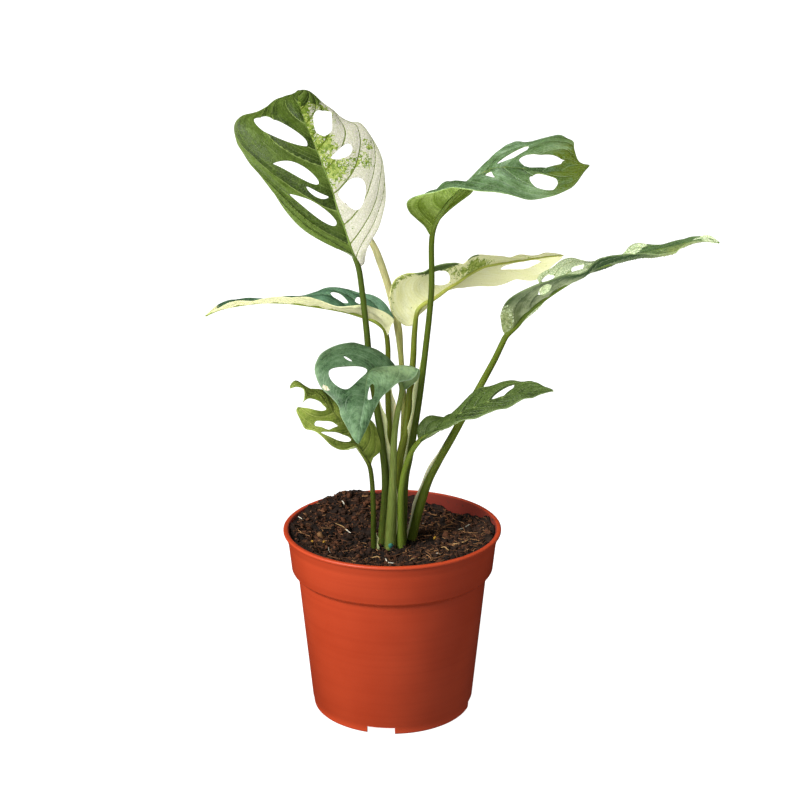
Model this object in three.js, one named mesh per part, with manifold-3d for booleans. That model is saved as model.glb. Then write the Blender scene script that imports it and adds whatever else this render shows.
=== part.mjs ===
// Potted variegated swiss cheese vine: a nursery pot, the soil, the rooted stem, eight
// fenestrated leaves and one furled new leaf. Millimetres, +Z up. The origin is on the
// ground at the middle of the pot, and the plant is seen best when looking along +Y.
import * as THREE from 'three';
import { mergeVertices } from 'three/addons/utils/BufferGeometryUtils.js';
import Module from 'manifold-3d';

const wasm = await Module();
wasm.setup();

// Pot: a 10.5 cm nursery pot with a collar and a rolled rim
const potHeight = 92;
const rimRadius = 53.1;
const collarTop = 85.2;
const collarFoot = 68.6;
const collarTopRadius = 50.7;
const collarFootRadius = 48.6;
const shoulderHeight = 65;
const shoulderRadius = 46;
const baseRadius = 39.4;
const potWall = 1.2;
const floorUnderside = 3.8;
const floorTop = 5.2;
const padRadius = 9.5;
const potSegments = 36;
const notchWidth = 13.5;
const notchHeight = 3.5;
const notchTurn = -8;
const drainRadius = 3;
const drainCircle = 24;
const drainCount = 8;

// Soil: its level in the middle, the rise to the wall, the heap and the sunk side
const soilLevel = 84;
const soilEdgeRise = 5;
const heap = { x: -21, y: 33, height: 5, spread: 17 };
const sunk = { x: 28, y: 32, height: -5.5, spread: 20 };
const soilGap = 0.3;

// Rooted stem, hidden in the soil, and the hole over it that the stalks stand in
const stem = { x: 0.7, y: -3.7, halfX: 7.1, halfY: 8.2, top: 68, bottom: 50 };
const stemHole = { halfX: 7.5, halfY: 8.6 };
const stalkFoot = 68.3;
const stalkGap = 0.7;

// Leaf blades
const bladeThickness = 0.8;
const ribTipRadius = 0.6;
const bladeStart = 0.012;
const bladeEnd = 0.985;
const marginWave = 0.5;
const holeReach = 2.6;
const holeSides = 10;
const bladeColumns = 4;
const rowStep = 9;
const stalkStep = 12;
const furledSteps = 22;
const stalkSides = 7;

// Each leaf: its stalk from the soil up, its midrib from the stalk to the tip, and the left
// and right margins of the blade, all points in millimetres. stalk is the radius at the
// soil and at the blade. bulge lifts the middle of each half, arch sweeps its cross lines
// back and lean shifts the margin towards the tip. A hole is [place along the rib, half
// width, inner and outer end as parts of the half's width, slant, taper, bend, point]: its
// ends are blunter where point is less than 1. A swell moves a part of one half by shift.
const leaves = [
  {
    name: 'leaf_upper_left',
    color: 0x5f8a3a,
    stalk: [2.2, 1.35],
    petiole: [[-4.2, -3.5, 84], [-3, -3.5, 112], [-4.5, -3, 132.5], [-7.5, -2, 154],
      [-10.5, -1, 173.5], [-12, 0, 190.5], [-14, 0, 209.5]],
    rib: [[-15.5, 0, 220], [-18, 1.5, 226.5], [-22, 5, 237.5], [-25.5, 8.5, 247],
      [-28, 11.5, 254.5], [-30.5, 14.5, 261], [-33.5, 18, 268], [-36.5, 22, 274.5],
      [-39.5, 26, 280.5], [-42, 31, 286], [-44, 35.5, 291], [-45, 40, 294.5],
      [-45, 45, 296.5], [-44.5, 50, 296.5], [-44, 54, 295.5]],
    left: [[-16, 0, 221], [-18.5, 0, 226], [-24, 0, 228.5], [-30, 1, 231],
      [-38.5, 3.5, 235.5], [-43.5, 5.5, 239], [-48, 7.5, 243.5], [-51.5, 9, 248],
      [-54.5, 10.5, 252.5], [-57.5, 11.5, 256.5], [-62, 14.5, 261.5], [-66, 17, 265.5],
      [-69.5, 19, 270.5], [-72.5, 21.5, 275], [-74, 24, 280.5], [-73.5, 26, 284],
      [-70.5, 28.5, 286.5], [-66.5, 30.5, 287.5], [-63.5, 32, 288.5], [-60, 35.5, 290.5],
      [-55.5, 40, 293], [-51, 43, 294.5], [-47, 47, 295.5], [-45.5, 50, 296.5],
      [-44, 54, 296]],
    right: [[-15, 1, 220.5], [-13, 1, 222], [-12.5, 0.5, 225], [-11.5, 0, 229],
      [-9, 1, 233.5], [-6, 2.5, 238.5], [-4, 6, 245], [-3, 9, 250], [-3, 12, 256],
      [-3.5, 15.5, 261.5], [-4.5, 19.5, 267.5], [-6.5, 23.5, 272.5], [-9.5, 27, 277],
      [-13, 30.5, 281], [-15.5, 32.5, 283], [-19.5, 35, 283.5], [-24.5, 38, 285.5],
      [-27.5, 40, 287.5], [-31.5, 43, 290], [-34.5, 46.5, 292.5], [-38, 49, 295],
      [-41.5, 51.5, 296.5], [-44, 54, 296]],
    lean: 0.45,
    holes: {
      left: [[0.612, 0.046, 0.1, 0.88, 0.024, 0.1, 0, 0.86],
        [0.422, 0.037, 0.15, 0.66, 0.022, -0.75, 0.02, 1.15],
        [0.344, 0.015, 0.09, 0.37, 0.014, 0.5, -0.01, 0.85],
        [0.265, 0.042, 0.12, 0.71, 0.046, -0.5, 0, 1.18]],
      right: [[0.68, 0.066, 0.16, 0.9, 0.032, -0.5, 0.01, 1.25],
        [0.498, 0.024, 0.18, 0.6, 0, 0.45, -0.005, 0.95],
        [0.325, 0.066, 0.08, 0.6, -0.008, 0.2, -0.016, 1.2]],
    },
  },
  {
    name: 'leaf_upper_right',
    color: 0x5f8f5e,
    stalk: [1.9, 1.3],
    petiole: [[4.6, -2.4, 84], [6, -2.5, 114], [8.5, -2, 128.5], [12, -1.5, 150.5],
      [14, -1.5, 165.5], [16, -1.5, 183.5], [17.5, -1.5, 198], [18.5, -1.5, 212.5]],
    rib: [[18.5, -2, 235], [22, -2, 245.5], [29, -3, 255], [38, -4, 262.5], [47, -5, 267],
      [58, -6, 267], [69.5, -7, 265.5], [79.5, -8, 266.5], [89, -10, 269]],
    left: [[19.5, -1, 235.5], [21, 3.5, 240], [23.5, 6.5, 243], [27, 9, 246],
      [31, 11.5, 248.5], [35.5, 13.5, 251], [38, 14.5, 253], [38.75, 15.5, 256],
      [40, 16.5, 260], [41, 17, 262.75], [42.5, 17.5, 265], [44.5, 18, 267],
      [46.5, 18.5, 268.5], [48.75, 19, 269.75], [51, 19.5, 271.25], [53.25, 20, 272.75],
      [55.25, 20, 274.25], [57, 20, 275.75], [59.25, 20, 276.25], [63.5, 20, 276],
      [68, 18.5, 276.5], [73.5, 17.5, 278], [78, 15, 279.5], [81.5, 11.5, 278.5],
      [83.5, 8, 277], [83.5, 3.5, 274], [84.5, -1, 270.5], [86.5, -6, 269],
      [89, -9.5, 269]],
    right: [[17.5, -2.5, 236], [15, -4, 240.5], [11.5, -6.5, 244], [8.5, -10.5, 247.5],
      [7, -13, 251.5], [8, -15, 254], [10.5, -16, 255.5], [15, -17.5, 257],
      [20, -19.5, 258.5], [26, -21, 260], [31.5, -22, 260], [37, -23, 260],
      [43.5, -24, 259.5], [49.5, -25, 258.5], [55.5, -25.5, 257], [60.5, -26, 256.4],
      [67.5, -26.5, 257], [73.5, -25.5, 258], [78.5, -24, 260.5], [82.5, -21, 263.5],
      [86.5, -14.5, 267], [89, -10.5, 269]],
    holes: {
      left: [[0.557, 0.022, 0.08, 0.57, 0.04, 0.25, 0.012, 0.95],
        [0.763, 0.1, 0.04, 0.53, 0.08, -0.48, -0.029, 1.5],
        [0.233, 0.007, 0.17, 0.6, 0.01, 0, 0, 1.1]],
      right: [[0.718, 0.062, 0.25, 0.87, 0, 0, 0, 1.1],
        [0.493, 0.019, 0.09, 0.43, 0.016, -0.45, -0.012, 1.15]],
    },
    swells: [
      { side: 'right', place: 0.225, along: 0.035, out: 0.65, reach: 0.3, shift: [0, 0, 1.6] },
      { side: 'right', place: 0.3, along: 0.05, out: 0.5, reach: 0.33, shift: [-1, 0, 3] },
      { side: 'left', place: 0.35, along: 0.08, out: 0.5, reach: 0.35, shift: [1.5, 0, -1.9] },
    ],
  },
  {
    name: 'leaf_right',
    color: 0x667a55,
    stalk: [2.3, 1.4],
    petiole: [[9.2, 2, 84], [16, 2.5, 110.5], [21.5, 3, 123], [28, 3, 135],
      [35.5, 3, 149.5], [42.5, 3, 163], [48.5, 2.5, 175], [52, 2, 183]],
    rib: [[54, 2, 187], [58.5, 0.5, 192.5], [62.5, -1.5, 198.5], [68, -3, 204],
      [74.5, -5, 209.5], [80.5, -7, 214], [87, -8.5, 218.5], [93, -10, 222],
      [99.5, -11.5, 224.5], [105.5, -13, 226.5], [112, -14.5, 229], [118, -16.5, 231],
      [124, -18, 233], [129.5, -19.5, 234.5], [134, -21.5, 236.5], [139, -23, 238],
      [143, -24, 238], [146.5, -25, 236.5]],
    left: [[55, 2, 188], [58, 7, 191], [62, 11, 196], [66, 14, 201], [69, 17, 206],
      [69.5, 18.5, 208.5], [70.5, 19.5, 211], [73, 20.5, 213.5], [76.5, 21.5, 216],
      [80.5, 22, 219.5], [85.5, 22, 220.5], [90, 20, 219.5], [94, 18, 219], [98.5, 16, 220],
      [102.5, 13, 222], [107.5, 10, 224], [109.5, 8.5, 226], [111.5, 7.5, 228.5],
      [114.5, 4.5, 230.5], [117, 2.5, 230.5], [120.5, -0.5, 231], [125, -4.5, 232.5],
      [129.5, -8.5, 234], [133.5, -11.5, 235.5], [136, -14, 237], [139, -16.5, 238],
      [142, -19, 239], [144.5, -22.5, 238], [146.5, -24.5, 236.5]],
    right: [[53.5, 2, 187.5], [52, 1, 190.5], [51, -2.5, 195.5], [50.5, -5.5, 199],
      [51.5, -9.5, 203.5], [53.5, -13, 207.5], [57, -16.5, 211.5], [61, -19, 214.5],
      [66, -21, 217], [72.5, -23, 219], [78.5, -24, 221.5], [83, -24.5, 222.5],
      [87, -25, 224], [89, -25, 226], [91, -25, 228], [94.5, -25, 229.5],
      [101.5, -25, 230.5], [107, -26, 232], [111.5, -27.5, 232.5], [114.5, -29, 232.5],
      [118, -30.5, 232], [122.5, -31, 232.5], [126, -31.5, 233.5], [128, -31.5, 236],
      [131, -30.5, 237.5], [136.5, -29, 238], [146, -25.5, 236.5]],
    bulge: -0.08,
    holes: {
      left: [[0.268, 0.03, 0.64, 0.89, -0.008, -0.45, -0.01, 1.25],
        [0.376, 0.018, 0.68, 0.91, 0.02, -0.35, 0, 1.6]],
      right: [[0.281, 0.027, 0.33, 0.88, 0.018, 0.1, 0, 0.95]],
    },
  },
  {
    name: 'leaf_middle',
    color: 0xdcdcae,
    stalk: [1.9, 1.2],
    petiole: [[0.3, -2.8, 84], [3, -1.5, 121.5], [6.5, 0, 140.5], [8.5, 5, 158.5],
      [10, 8, 173.5], [10.5, 9.5, 184]],
    rib: [[11, 10.5, 190.5], [11.5, 11, 196], [13, 12, 198.5], [15.5, 13, 200.5],
      [19, 14, 202], [22.5, 15.5, 204], [27, 17.5, 207], [31, 19, 209], [35.5, 20.5, 212],
      [39.5, 22, 214], [44, 23, 216], [48.5, 25, 216.5], [54.5, 27.5, 217], [61, 30, 217.5],
      [68, 32.5, 218], [75.5, 35, 218.5], [83.5, 38, 218.5]],
    left: [[11.5, 11.5, 190], [12.5, 16.5, 193], [15.5, 21.5, 195], [19, 26.5, 197.5],
      [23.5, 31, 200.3], [27.5, 34.5, 202], [31.5, 37, 203], [34.5, 39, 202.5],
      [40, 41.5, 202], [46, 43.5, 202], [51.5, 44.5, 202.5], [57, 46, 203],
      [61.5, 46.5, 204.5], [66.5, 47, 204.5], [72, 47, 205], [75.5, 46, 208],
      [79, 42.5, 213], [81.5, 40, 215.5], [83.5, 39, 217.5]],
    right: [[10.5, 10, 190.5], [8.5, 9.5, 190], [7, 9, 190], [4.5, 8.5, 191.5],
      [2, 7, 194.5], [0, 6, 198.5], [-1, 5.5, 203.5], [-0.5, 5, 208], [0.5, 5, 212],
      [2.5, 5, 214.5], [5.5, 5, 216], [7.5, 5, 216.5], [11.5, 5, 216.5], [15.5, 5.5, 217],
      [18.5, 6, 218.5], [21.5, 7.5, 219.5], [26, 9, 220.5], [30, 10.5, 220.5],
      [33.5, 12, 219.5], [35.5, 13.5, 220.5], [38, 15.5, 222], [41, 17, 222.5],
      [46, 20.5, 222], [50.5, 22.5, 221.5], [54, 24.5, 220.5], [57, 26, 219.5],
      [62, 28, 220.5], [67, 30, 220], [71, 32, 220], [74.5, 34, 220.5], [78.5, 36, 220],
      [83, 38, 219]],
    holes: {
      left: [[0.74, 0.111, 0.13, 0.57, -0.017, 0.3, -0.006, 0.6]],
      right: [[0.326, 0.044, 0.11, 0.74, 0.014, 0, 0, 1]],
    },
  },
  {
    name: 'leaf_left',
    color: 0x9aa985,
    stalk: [2, 1.2],
    petiole: [[-1.2, 1.7, 84], [-1.5, 4, 137], [-2, 6, 154], [-2, 7.5, 171],
      [-2, 8, 179.5]],
    rib: [[-2.5, 8, 185], [-3, 8.5, 187.5], [-4, 9, 189.5], [-7, 9.5, 192],
      [-11, 11, 193.5], [-16, 12, 195], [-21.5, 12.5, 196.5], [-27, 13, 197.5],
      [-33, 13, 198.5], [-40, 13, 199.5], [-48, 13, 200.5], [-55, 12.5, 201],
      [-61.5, 12, 201], [-68, 11, 200.5], [-75.5, 10, 199.5], [-82.5, 8.5, 198],
      [-88.5, 7, 195.5]],
    left: [[-2, 7, 186], [-0.5, 4.5, 191.5], [1, 2.5, 194], [0, 2, 196], [-3.5, 2, 198.5],
      [-8.5, 3, 200], [-13, 3, 201], [-20, 3.5, 201], [-27, 3.5, 201.5], [-32, 4, 202.5],
      [-36.5, 4, 204], [-40.5, 4, 205], [-46, 4, 205.5], [-52.5, 4.5, 205], [-60, 5, 204],
      [-68.5, 6, 203], [-76, 6, 202], [-82, 6, 199.5], [-88, 6.5, 196]],
    right: [[-2, 9, 186.5], [0, 11.5, 191], [1, 13, 193], [-0.5, 16, 195],
      [-2.5, 18.5, 197.5], [-5.5, 21, 200], [-10, 23.5, 202], [-15.5, 26.5, 202.5],
      [-21, 28.5, 203.5], [-27, 29, 204], [-32.5, 29, 204], [-38, 28.5, 202.5],
      [-43.5, 26.5, 200.8], [-48.5, 24, 200.7], [-54, 22, 201.2], [-59.5, 19.5, 201.2],
      [-65.5, 17, 201.4], [-71, 14.5, 202], [-75, 13, 202.2], [-78.5, 11.5, 201.9],
      [-83, 10, 200], [-88, 7.5, 196]],
    bulge: -0.06,
    holes: {
      right: [[0.317, 0.022, 0.42, 0.82, 0.03, 0.2, 0.004, 0.8],
        [0.24, 0.015, 0.55, 0.83, 0, -0.15, 0, 1]],
    },
  },
  {
    name: 'leaf_front',
    color: 0x4f7f5c,
    stalk: [2.6, 1.3],
    petiole: [[-1, -9, 84], [0, -9, 108.5], [0.5, -9.5, 124], [1, -9.5, 140],
      [2.5, -9.5, 152]],
    rib: [[4.5, -8.5, 162], [3.8, -8, 167], [2, -8.5, 171], [-1, -10, 174],
      [-4.5, -12.5, 175.5], [-8, -16, 176], [-10.5, -20, 175], [-11.5, -24.5, 172.5],
      [-12, -28.5, 169.5], [-12.5, -32.5, 165.5], [-13.5, -36, 161], [-14.5, -39.5, 156],
      [-15, -42, 152], [-15, -43, 148]],
    left: [[5, -8, 162.5], [7, -6.5, 163.5], [9.5, -5, 165], [12, -5.5, 167.5],
      [13, -8, 171], [12.5, -12, 174], [11.5, -15, 173], [9, -18, 171.5], [5.5, -21, 171],
      [2, -24, 170.5], [-2, -27, 168], [-5, -30, 165.5], [-7.5, -33.5, 162],
      [-9.5, -36.5, 158], [-11.5, -39.5, 154], [-13.5, -41.5, 150.5], [-15, -43, 148]],
    right: [[4, -8, 162.5], [3, -6.5, 166.5], [2, -5.5, 171], [0.5, -5, 174],
      [-1, -5, 176.5], [-4, -5, 179.5], [-8, -5, 182.5], [-12.5, -5, 184],
      [-17.5, -5.5, 185.5], [-23, -7, 185], [-28.5, -9, 184], [-32.5, -12, 182.5],
      [-34.5, -16, 180], [-35.5, -21, 176.5], [-34, -26, 173], [-31.5, -30, 170],
      [-27.5, -33.5, 167], [-24, -36, 163.5], [-23, -38, 160], [-20.5, -40, 155.5],
      [-18, -42, 151.5], [-15.5, -43, 148]],
    bulge: 0.13,
    lean: 0.25,
    holes: {
      left: [[0.62, 0.057, 0.18, 0.58, 0.011, -0.45, -0.012, 0.85]],
      right: [[0.51, 0.075, 0.04, 0.75, 0.065, 0, 0.065, 0.95],
        [0.447, 0.009, 0.35, 0.55, -0.006, 0, 0.004, 1.05]],
    },
  },
  {
    name: 'leaf_lower_left',
    color: 0x5f8a3a,
    stalk: [1.5, 1.1],
    petiole: [[-8.8, -12.9, 84], [-9, -13, 95.5], [-9, -13, 107], [-9.5, -13.5, 119]],
    rib: [[-10.5, -14, 127], [-12.5, -16, 132.5], [-16, -18, 138.5], [-19, -19.5, 144],
      [-22.5, -20.5, 150.5], [-26, -21.5, 155], [-29, -22.5, 159], [-31.5, -23.5, 162.5],
      [-34.5, -23.5, 165], [-37, -24, 167.5], [-39.5, -25, 169.5], [-41.5, -25.5, 171],
      [-43, -26.5, 172], [-45, -27.5, 172], [-46.5, -28, 170]],
    left: [[-11, -14.5, 128], [-13.5, -19.5, 134], [-16.5, -23.5, 139.5], [-18, -25, 140.5],
      [-21.5, -27, 140], [-24.5, -29, 141], [-28.5, -30.5, 143.5], [-31.5, -31.5, 147],
      [-34, -32, 150], [-36, -32, 151], [-39.5, -32, 151.5], [-41, -32, 153.5],
      [-42.5, -32, 157.5], [-43.5, -31, 160.5], [-42, -30.5, 162.5], [-40.5, -28.5, 164],
      [-40, -28, 166.5], [-40, -27.5, 169], [-41, -27.5, 170], [-43.5, -28, 170.5],
      [-45.5, -28, 170], [-46.8, -28, 169.6]],
    right: [[-10, -13.5, 127.5], [-10, -13, 129], [-8.5, -10.5, 132], [-6.5, -8.5, 132.5],
      [-6, -7, 135.5], [-7, -6, 141], [-8, -6, 145.5], [-10.5, -7, 148.5],
      [-14, -8.5, 152.5], [-18.5, -10.5, 156], [-22.5, -12.5, 159.5], [-26.5, -14.5, 161.5],
      [-29, -16, 163], [-32, -18, 166], [-36, -20.5, 167], [-39.5, -23, 168.5],
      [-41, -25, 170.5], [-42.5, -25.5, 172], [-44.5, -26.5, 173], [-46, -27.5, 171.5],
      [-46.7, -27.8, 170]],
    lean: 0.2,
    holes: {
      left: [[0.7, 0.046, 0.1, 1.04, 0.054, -0.4, 0.03, 0.7],
        [0.499, 0.052, 0.26, 0.74, 0.031, 0.5, 0.024, 0.8],
        [0.397, 0.047, 0.14, 0.92, 0.078, -0.25, -0.006, 1.25]],
    },
  },
  {
    name: 'leaf_lower_right',
    color: 0x4d7440,
    stalk: [1.9, 1.2],
    petiole: [[4.2, -8, 84], [4, -8.5, 108.5], [5, -9, 119], [7, -10, 128], [10, -11, 135]],
    rib: [[13, -12, 139.5], [15, -13, 141.5], [18.5, -14.5, 144], [22, -16, 147],
      [26, -16.5, 150], [29.5, -17, 153], [33.5, -18, 155.5], [38, -18.5, 157.5],
      [43, -19, 160], [49, -19.5, 162], [55, -20, 164], [61.5, -20.5, 165.5],
      [67.5, -21, 166], [74.5, -22, 167]],
    left: [[12.5, -11.5, 140], [12, -9.5, 143], [12.5, -8, 145.5], [14.5, -6.5, 148],
      [16.5, -6, 149.5], [19, -6, 150], [22.5, -5.5, 149], [25.5, -5.5, 148.5],
      [27, -5, 150], [29.5, -5, 151], [32.5, -5, 154], [35.5, -5, 157.5], [38, -5, 160],
      [41, -4, 162.5], [44, -3.5, 163.5], [48, -3, 164.5], [52, -3.5, 165.5],
      [56, -4.5, 166.5], [60.5, -7.5, 167.5], [64.5, -10.5, 168], [68, -14, 168],
      [71.5, -18, 167.5], [74.5, -21.5, 167]],
    right: [[13.5, -13, 139], [16.5, -18.5, 143], [19.5, -22, 146], [23, -25, 149],
      [26.5, -27.5, 151.5], [29, -28.5, 153], [32.5, -29.5, 154.5], [36.5, -30.5, 156],
      [41.5, -31, 158], [46.5, -31, 159.5], [51.5, -30, 161], [55.5, -29.5, 162.5],
      [59, -29, 164], [62, -28.5, 165], [67, -26, 166], [71, -24, 166.5], [74, -22.5, 167]],
    holes: {
      left: [[0.653, 0.029, 0.04, 0.7, 0.048, -0.75, 0.019, 0.8]],
    },
  },
];

// Furled new leaf: its stalk, the wider roll of the young blade and its tip
const furledLeaf = {
  name: 'leaf_furled',
  color: 0xd9d7a6,
  path: [[3.2, 1.7, 84], [5.5, 4, 140], [5.5, 7, 154], [4.5, 12, 170], [4, 14, 176],
    [3, 17, 186], [1, 19, 195.5], [-2, 20, 207.5], [-6, 21, 219.5], [-9.5, 22, 227.5],
    [-16.5, 24, 237.5], [-22.5, 26, 246]],
  radii: [1.8, 1.75, 1.5, 1.35, 1.3, 1.35, 1.9, 1.7, 1.75, 1.8, 1.5, 1.0, 0.4],
};

const potColor = 0xb8452a;
const soilColor = 0x2c1d15;
const stemColor = 0x6f7a3f;

function vector([x, y, z]) {
  return new THREE.Vector3(x, y, z);
}

function curveThrough(points) {
  const curve = new THREE.CatmullRomCurve3(points.map(vector), false, 'catmullrom', 0.5);
  curve.arcLengthDivisions = 400;
  return curve;
}

// Booleans on closed meshes
function solidFrom(positions, triangles) {
  const vertProperties = new Float32Array(positions);
  const triVerts = new Uint32Array(triangles);
  return new wasm.Manifold(new wasm.Mesh({ numProp: 3, vertProperties, triVerts }));
}

function solidFromGeometry(geometry) {
  const bare = geometry.clone();
  bare.deleteAttribute('normal');
  bare.deleteAttribute('uv');
  const merged = mergeVertices(bare, 1e-4);
  return solidFrom(merged.attributes.position.array, merged.index.array);
}

function meshFrom(name, solid, color, roughness = 0.6) {
  const { vertProperties, triVerts } = solid.getMesh();
  const geometry = new THREE.BufferGeometry();
  geometry.setAttribute('position', new THREE.BufferAttribute(vertProperties, 3));
  geometry.setIndex(new THREE.BufferAttribute(triVerts, 1));
  geometry.computeVertexNormals();
  const material = new THREE.MeshStandardMaterial({ color, roughness, metalness: 0 });
  const mesh = new THREE.Mesh(geometry, material);
  mesh.name = name;
  return mesh;
}

// A tapering round stalk along a curve, closed at both ends, with a ring at each place
function sweptTube(curve, places, radiusAt) {
  const positions = [];
  const triangles = [];
  let side = new THREE.Vector3(1, 0, 0);
  for (const place of places) {
    const centre = curve.getPointAt(place);
    const forward = curve.getTangentAt(place);
    side = side.addScaledVector(forward, -side.dot(forward)).normalize();
    const other = new THREE.Vector3().crossVectors(forward, side);
    const radius = radiusAt(place);
    for (let j = 0; j < stalkSides; j += 1) {
      const angle = (2 * Math.PI * j) / stalkSides;
      const point = centre.clone()
        .addScaledVector(side, radius * Math.cos(angle))
        .addScaledVector(other, radius * Math.sin(angle));
      positions.push(point.x, point.y, point.z);
    }
  }
  const last = (places.length - 1) * stalkSides;
  for (let ring = 0; ring < last; ring += stalkSides) {
    for (let j = 0; j < stalkSides; j += 1) {
      const a = ring + j;
      const b = ring + ((j + 1) % stalkSides);
      triangles.push(a, b, b + stalkSides, a, b + stalkSides, a + stalkSides);
    }
  }
  for (let j = 1; j < stalkSides - 1; j += 1) {
    triangles.push(0, j + 1, j);
    triangles.push(last, last + j, last + j + 1);
  }
  return solidFrom(positions, triangles);
}

// Evenly spaced places from one end of a stretch to the other
function evenly(from, to, steps) {
  return Array.from({ length: steps + 1 }, (_, i) => from + ((to - from) * i) / steps);
}

// The stalk and midrib are one line, and a blade's place along the rib runs from 0 to 1
function leafSpine(leaf) {
  const foot = [leaf.petiole[0][0], leaf.petiole[0][1], stalkFoot];
  const points = [foot, ...leaf.petiole, ...leaf.rib];
  const curve = curveThrough(points);
  const lengths = curve.getLengths();
  const jointIndex = ((leaf.petiole.length + 1) / (points.length - 1)) * curve.arcLengthDivisions;
  const joint = lengths[Math.round(jointIndex)] / curve.getLength();
  const along = (s) => joint + (1 - joint) * s;
  return { curve, joint, along };
}

function bladeSurface(leaf, spine, side) {
  const margin = curveThrough(leaf[side]);
  const sign = side === 'left' ? 1 : -1;
  const bulge = leaf.bulge ?? 0.07;
  const arch = leaf.arch ?? 0.12;
  const lean = leaf.lean ?? 0.3;
  const swells = (leaf.swells ?? []).filter((swell) => swell.side === side);
  return (s, t) => {
    const rib = spine.curve.getPointAt(spine.along(s));
    const forward = spine.curve.getTangentAt(spine.along(s));
    const edge = margin.getPointAt(s + lean * s * (1 - s));
    const across = edge.clone().sub(rib);
    const width = across.length();
    const up = new THREE.Vector3().crossVectors(forward, across).normalize();
    up.multiplyScalar(sign);
    const middle = rib.clone().add(edge).multiplyScalar(0.5);
    middle.addScaledVector(up, 2 * bulge * width).addScaledVector(forward, -arch * width);
    const point = rib.multiplyScalar((1 - t) ** 2);
    point.addScaledVector(middle, 2 * t * (1 - t)).addScaledVector(edge, t * t);
    const fade = Math.min(1, 5 * s * (1 - s)) * t * t;
    const wave = Math.sin(2 * Math.PI * (5 * s + (sign > 0 ? 0.2 : 0.6)));
    point.addScaledVector(up, marginWave * fade * wave);
    for (const swell of swells) {
      const away = ((s - swell.place) / swell.along) ** 2 + ((t - swell.out) / swell.reach) ** 2;
      point.addScaledVector(vector(swell.shift), Math.exp(-away) * Math.min(1, 5 * t));
    }
    return point;
  };
}

function surfaceNormal(surface, s, t, sign) {
  const step = 0.01;
  const low = Math.max(t - step, 0);
  const high = low + 2 * step;
  const alongRib = surface(Math.min(s + step, 1), t).sub(surface(Math.max(s - step, 0), t));
  const outward = surface(s, high).sub(surface(s, low));
  return alongRib.cross(outward).normalize().multiplyScalar(sign);
}

// Two sheets of the same triangles, one above and one below a surface, and the rim between
function slab(points, normals, triangles, rim, reach, flip) {
  const positions = [];
  for (const lift of [reach, -reach]) {
    points.forEach((point, i) => {
      positions.push(...point.clone().addScaledVector(normals[i], lift).toArray());
    });
  }
  const count = points.length;
  const faces = [];
  const add = (a, b, c) => (flip ? faces.push(a, c, b) : faces.push(a, b, c));
  for (const [a, b, c] of triangles) {
    add(a, b, c);
    add(a + count, c + count, b + count);
  }
  for (let i = 0; i < rim.length; i += 1) {
    const a = rim[i];
    const b = rim[(i + 1) % rim.length];
    add(b, a, a + count);
    add(b, a + count, b + count);
  }
  return solidFrom(positions, faces);
}

function halfBlade(leaf, spine, side, rows) {
  const surface = bladeSurface(leaf, spine, side);
  const sign = side === 'left' ? 1 : -1;
  const points = [];
  const normals = [];
  const columns = bladeColumns;
  for (const s of evenly(bladeStart, bladeEnd, rows)) {
    for (let j = 0; j <= columns; j += 1) {
      const t = j / columns;
      points.push(surface(s, t));
      normals.push(surfaceNormal(surface, s, t, sign));
    }
  }
  const at = (i, j) => i * (columns + 1) + j;
  const triangles = [];
  for (let i = 0; i < rows; i += 1) {
    for (let j = 0; j < columns; j += 1) {
      triangles.push([at(i, j), at(i + 1, j), at(i + 1, j + 1)]);
      triangles.push([at(i, j), at(i + 1, j + 1), at(i, j + 1)]);
    }
  }
  const rim = [];
  for (let i = 0; i < rows; i += 1) rim.push(at(i, 0));
  for (let j = 0; j < columns; j += 1) rim.push(at(rows, j));
  for (let i = rows; i > 0; i -= 1) rim.push(at(i, columns));
  for (let j = columns; j > 0; j -= 1) rim.push(at(0, j));
  return slab(points, normals, triangles, rim, bladeThickness / 2, sign < 0);
}

// A fenestration: a loop on the half blade, thick enough to cut through it
function holeCutter(leaf, spine, side, hole) {
  const [place, halfWidth, inner, outer, slant, taper, bend, point] = hole;
  const surface = bladeSurface(leaf, spine, side);
  const sign = side === 'left' ? 1 : -1;
  const loop = holeSides;
  const points = [];
  const normals = [];
  const add = (s, t) => {
    points.push(surface(s, t));
    normals.push(surfaceNormal(surface, s, Math.min(t, 0.98), sign));
  };
  for (let i = 0; i < loop; i += 1) {
    const angle = (2 * Math.PI * (i + 0.5)) / loop;
    const reach = Math.sign(Math.cos(angle)) * Math.abs(Math.cos(angle)) ** point;
    const wide = Math.sign(Math.sin(angle)) * Math.abs(Math.sin(angle)) ** point;
    const s = place + halfWidth * wide * (1 + taper * reach) + slant * reach;
    add(s + bend * (1 - reach * reach), (inner + outer) / 2 + ((outer - inner) / 2) * reach);
  }
  add(place + bend, (inner + outer) / 2);
  const triangles = [];
  for (let i = 0; i < loop; i += 1) {
    triangles.push([loop, (i + 1) % loop, i]);
  }
  const rim = Array.from({ length: loop }, (_, i) => loop - 1 - i);
  return slab(points, normals, triangles, rim, holeReach, sign < 0);
}

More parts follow.
